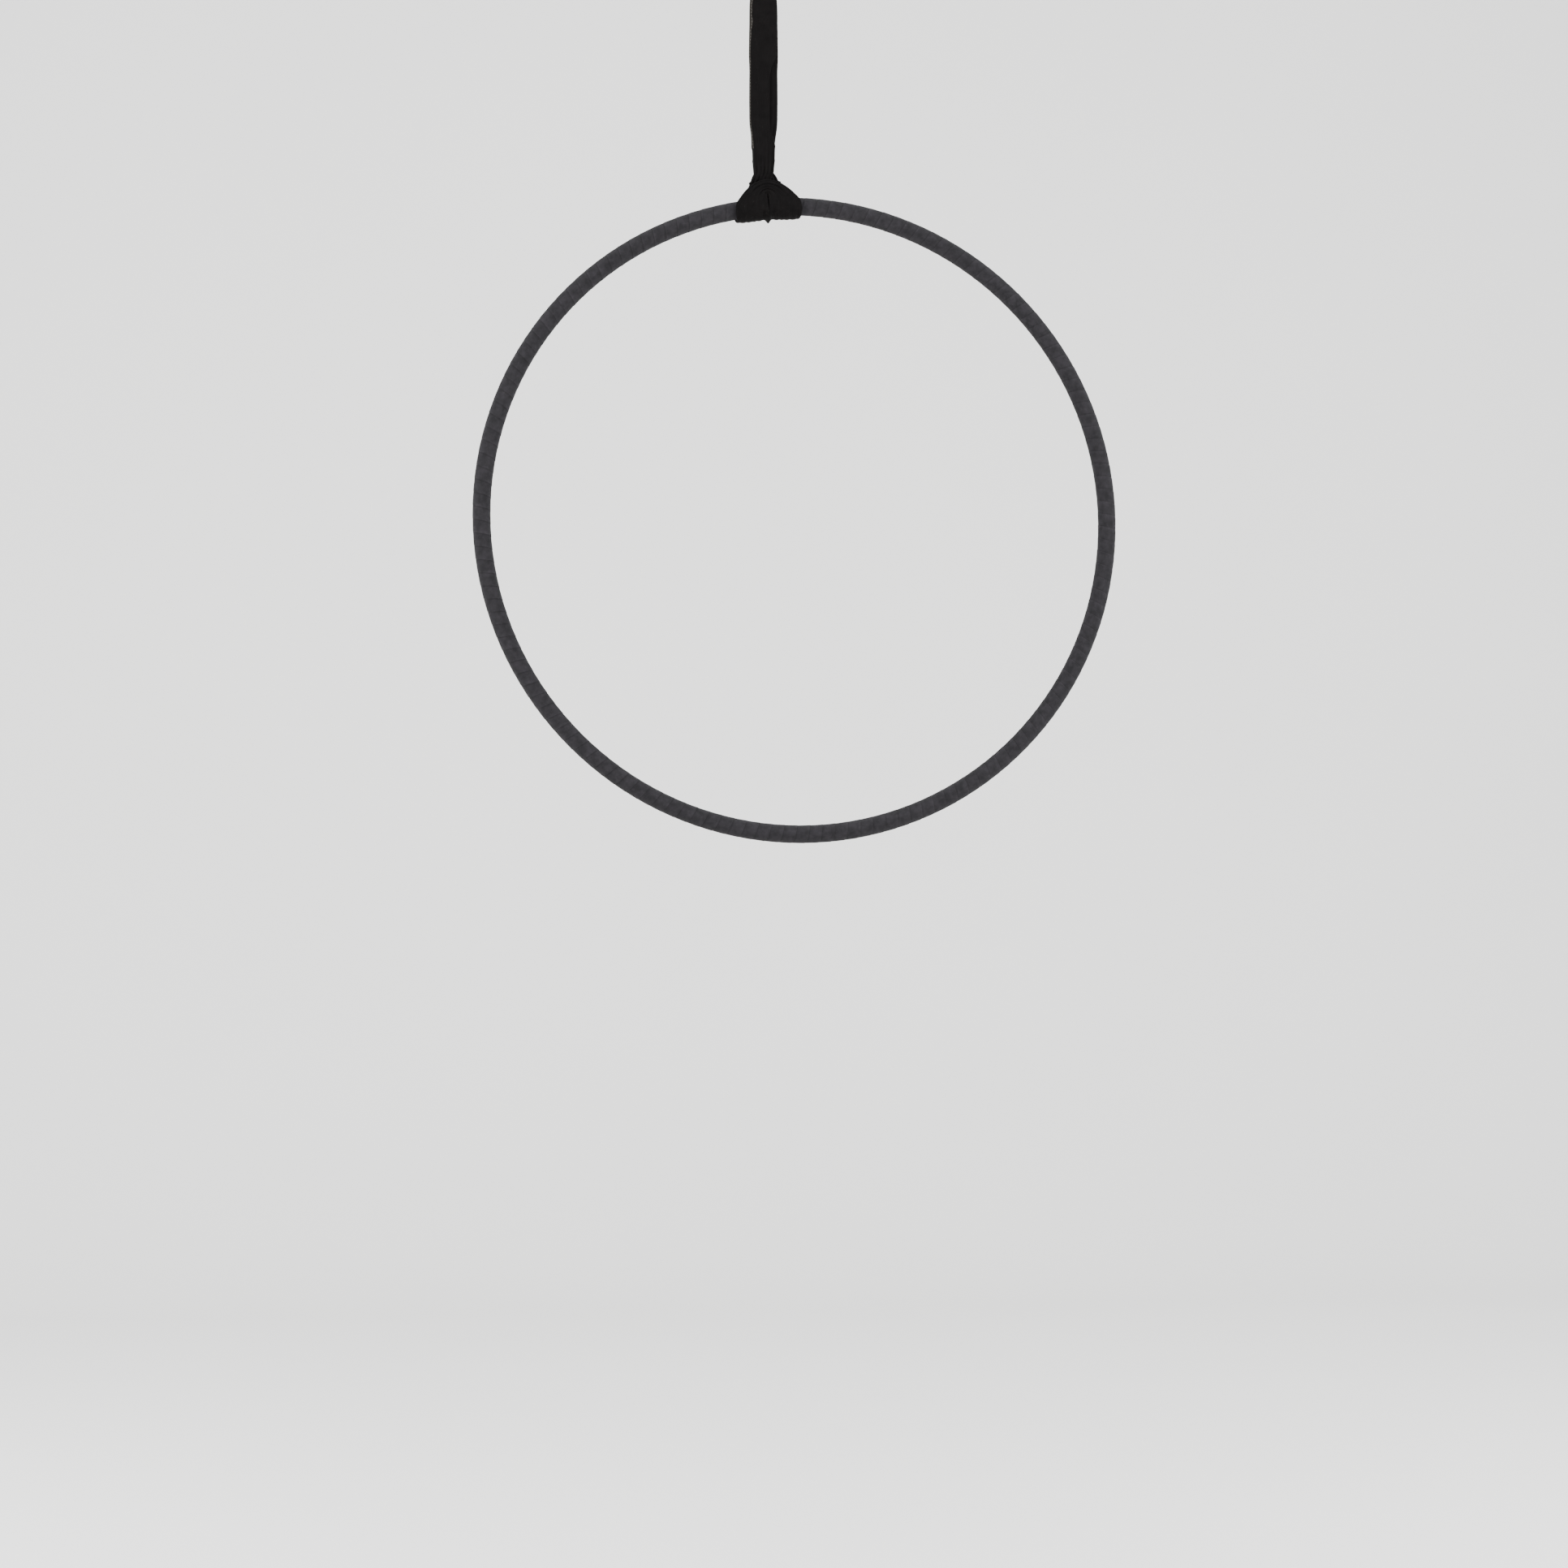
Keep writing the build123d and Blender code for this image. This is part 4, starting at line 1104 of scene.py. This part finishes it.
class LYRA_OT_swivel(bpy.types.Operator):
    """Finish the swivel's housing, spindle and bearing"""

    bl_idname = "lyra.swivel"
    bl_label = "Swivel"

    def execute(self, context):
        settings = context.scene.lyra_fittings
        # Turned and tumbled steel: satin, with fine marks
        steel = worn_metal("tumbled_steel", settings.steel, 0.34, 9.0, 0.45, 0.02, contrast=0.85)
        for node in ("swivel_housing", "swivel_end_cap", "swivel_spindle"):
            finish_node(node, steel)
        # Hardened and polished bearing steel: bright and even
        polished = worn_metal(
            "polished_bearing_steel", linear("C6C8CB"), 0.10, 30.0, 0.4, 0.002, contrast=0.97
        )
        for node in ("lower_race", "upper_race", "bearing_balls"):
            finish_node(node, polished)
        # Brass and bronze: warm, the bronze browner with its oil
        finish_node("ball_cage", worn_metal("pressed_brass", linear("BFA05A"), 0.30, 5.0, 0.5, 0.01))
        finish_node("spindle_bush", worn_metal("oiled_bronze", linear("9A6F3C"), 0.38, 5.0, 0.5, 0.02))
        bright = worn_metal("zinc_plated_small_parts", settings.bright_zinc, 0.32, 4.0, 0.5, 0.02)
        finish_node("spindle_nut", bright)
        finish_node("nut_pin", bright)
        finish_node("dust_seal", nitrile_rubber())
        # Black oxide on the grub screws: nearly black, a little oily
        finish_node("cap_lock_screws", worn_metal("black_oxide", linear("222224"), 0.4, 2.0, 0.4, 0.01))
        return {"FINISHED"}


class LYRA_OT_stage(bpy.types.Operator):
    """Set the paper backdrop, the soft lights and the camera"""

    bl_idname = "lyra.stage"
    bl_label = "Stage"

    def execute(self, context):
        settings = context.scene.lyra_stage
        backdrop(settings, studio_paper(settings))
        camera_place = HOOP_CENTRE + look_direction(settings.azimuth, settings.elevation) * settings.distance
        data = bpy.data.cameras.new("camera")
        data.sensor_width = 36.0
        data.lens = settings.lens
        camera = bpy.data.objects.new("camera", data)
        context.scene.collection.objects.link(camera)
        camera.location = camera_place
        camera.rotation_euler = (math.radians(90 + settings.pitch), 0.0, math.radians(settings.yaw))
        context.scene.camera = camera
        for name, place, size, power in LIGHTS:
            area_light(name, HOOP_CENTRE + Vector(place), HOOP_CENTRE, size, power)
        world = bpy.data.worlds.new("studio")
        world.use_nodes = True
        for key, value in ROOM_LIGHT.items():
            world.node_tree.nodes["Background"].inputs[key].default_value = value
        context.scene.world = world
        return {"FINISHED"}


OPERATORS = (LYRA_OT_tube, LYRA_OT_tape, LYRA_OT_sling, LYRA_OT_shackle, LYRA_OT_swivel, LYRA_OT_stage)


class LYRA_PT_panel(bpy.types.Panel):
    """Lists the steps that build the hoop"""

    bl_idname = "LYRA_PT_panel"
    bl_label = "Lyra Hoop"
    bl_space_type = "VIEW_3D"
    bl_region_type = "UI"
    bl_category = "Lyra Hoop"

    def draw(self, context):
        for operator in OPERATORS:
            self.layout.operator(operator.bl_idname)
        for group in SETTINGS:
            settings = getattr(context.scene, group)
            box = self.layout.box()
            for name in settings.bl_rna.properties.keys():
                if name not in ("rna_type", "name"):
                    box.prop(settings, name)


def register():
    for group, settings in SETTINGS.items():
        bpy.utils.register_class(settings)
        setattr(bpy.types.Scene, group, PointerProperty(type=settings))
    for item in (*OPERATORS, LYRA_PT_panel):
        bpy.utils.register_class(item)


def unregister():
    for item in (LYRA_PT_panel, *reversed(OPERATORS)):
        bpy.utils.unregister_class(item)
    for group, settings in SETTINGS.items():
        delattr(bpy.types.Scene, group)
        bpy.utils.unregister_class(settings)


def main():
    register()
    for operator in OPERATORS:
        group, name = operator.bl_idname.split(".")
        getattr(getattr(bpy.ops, group), name)()


if __name__ == "__main__":
    main()
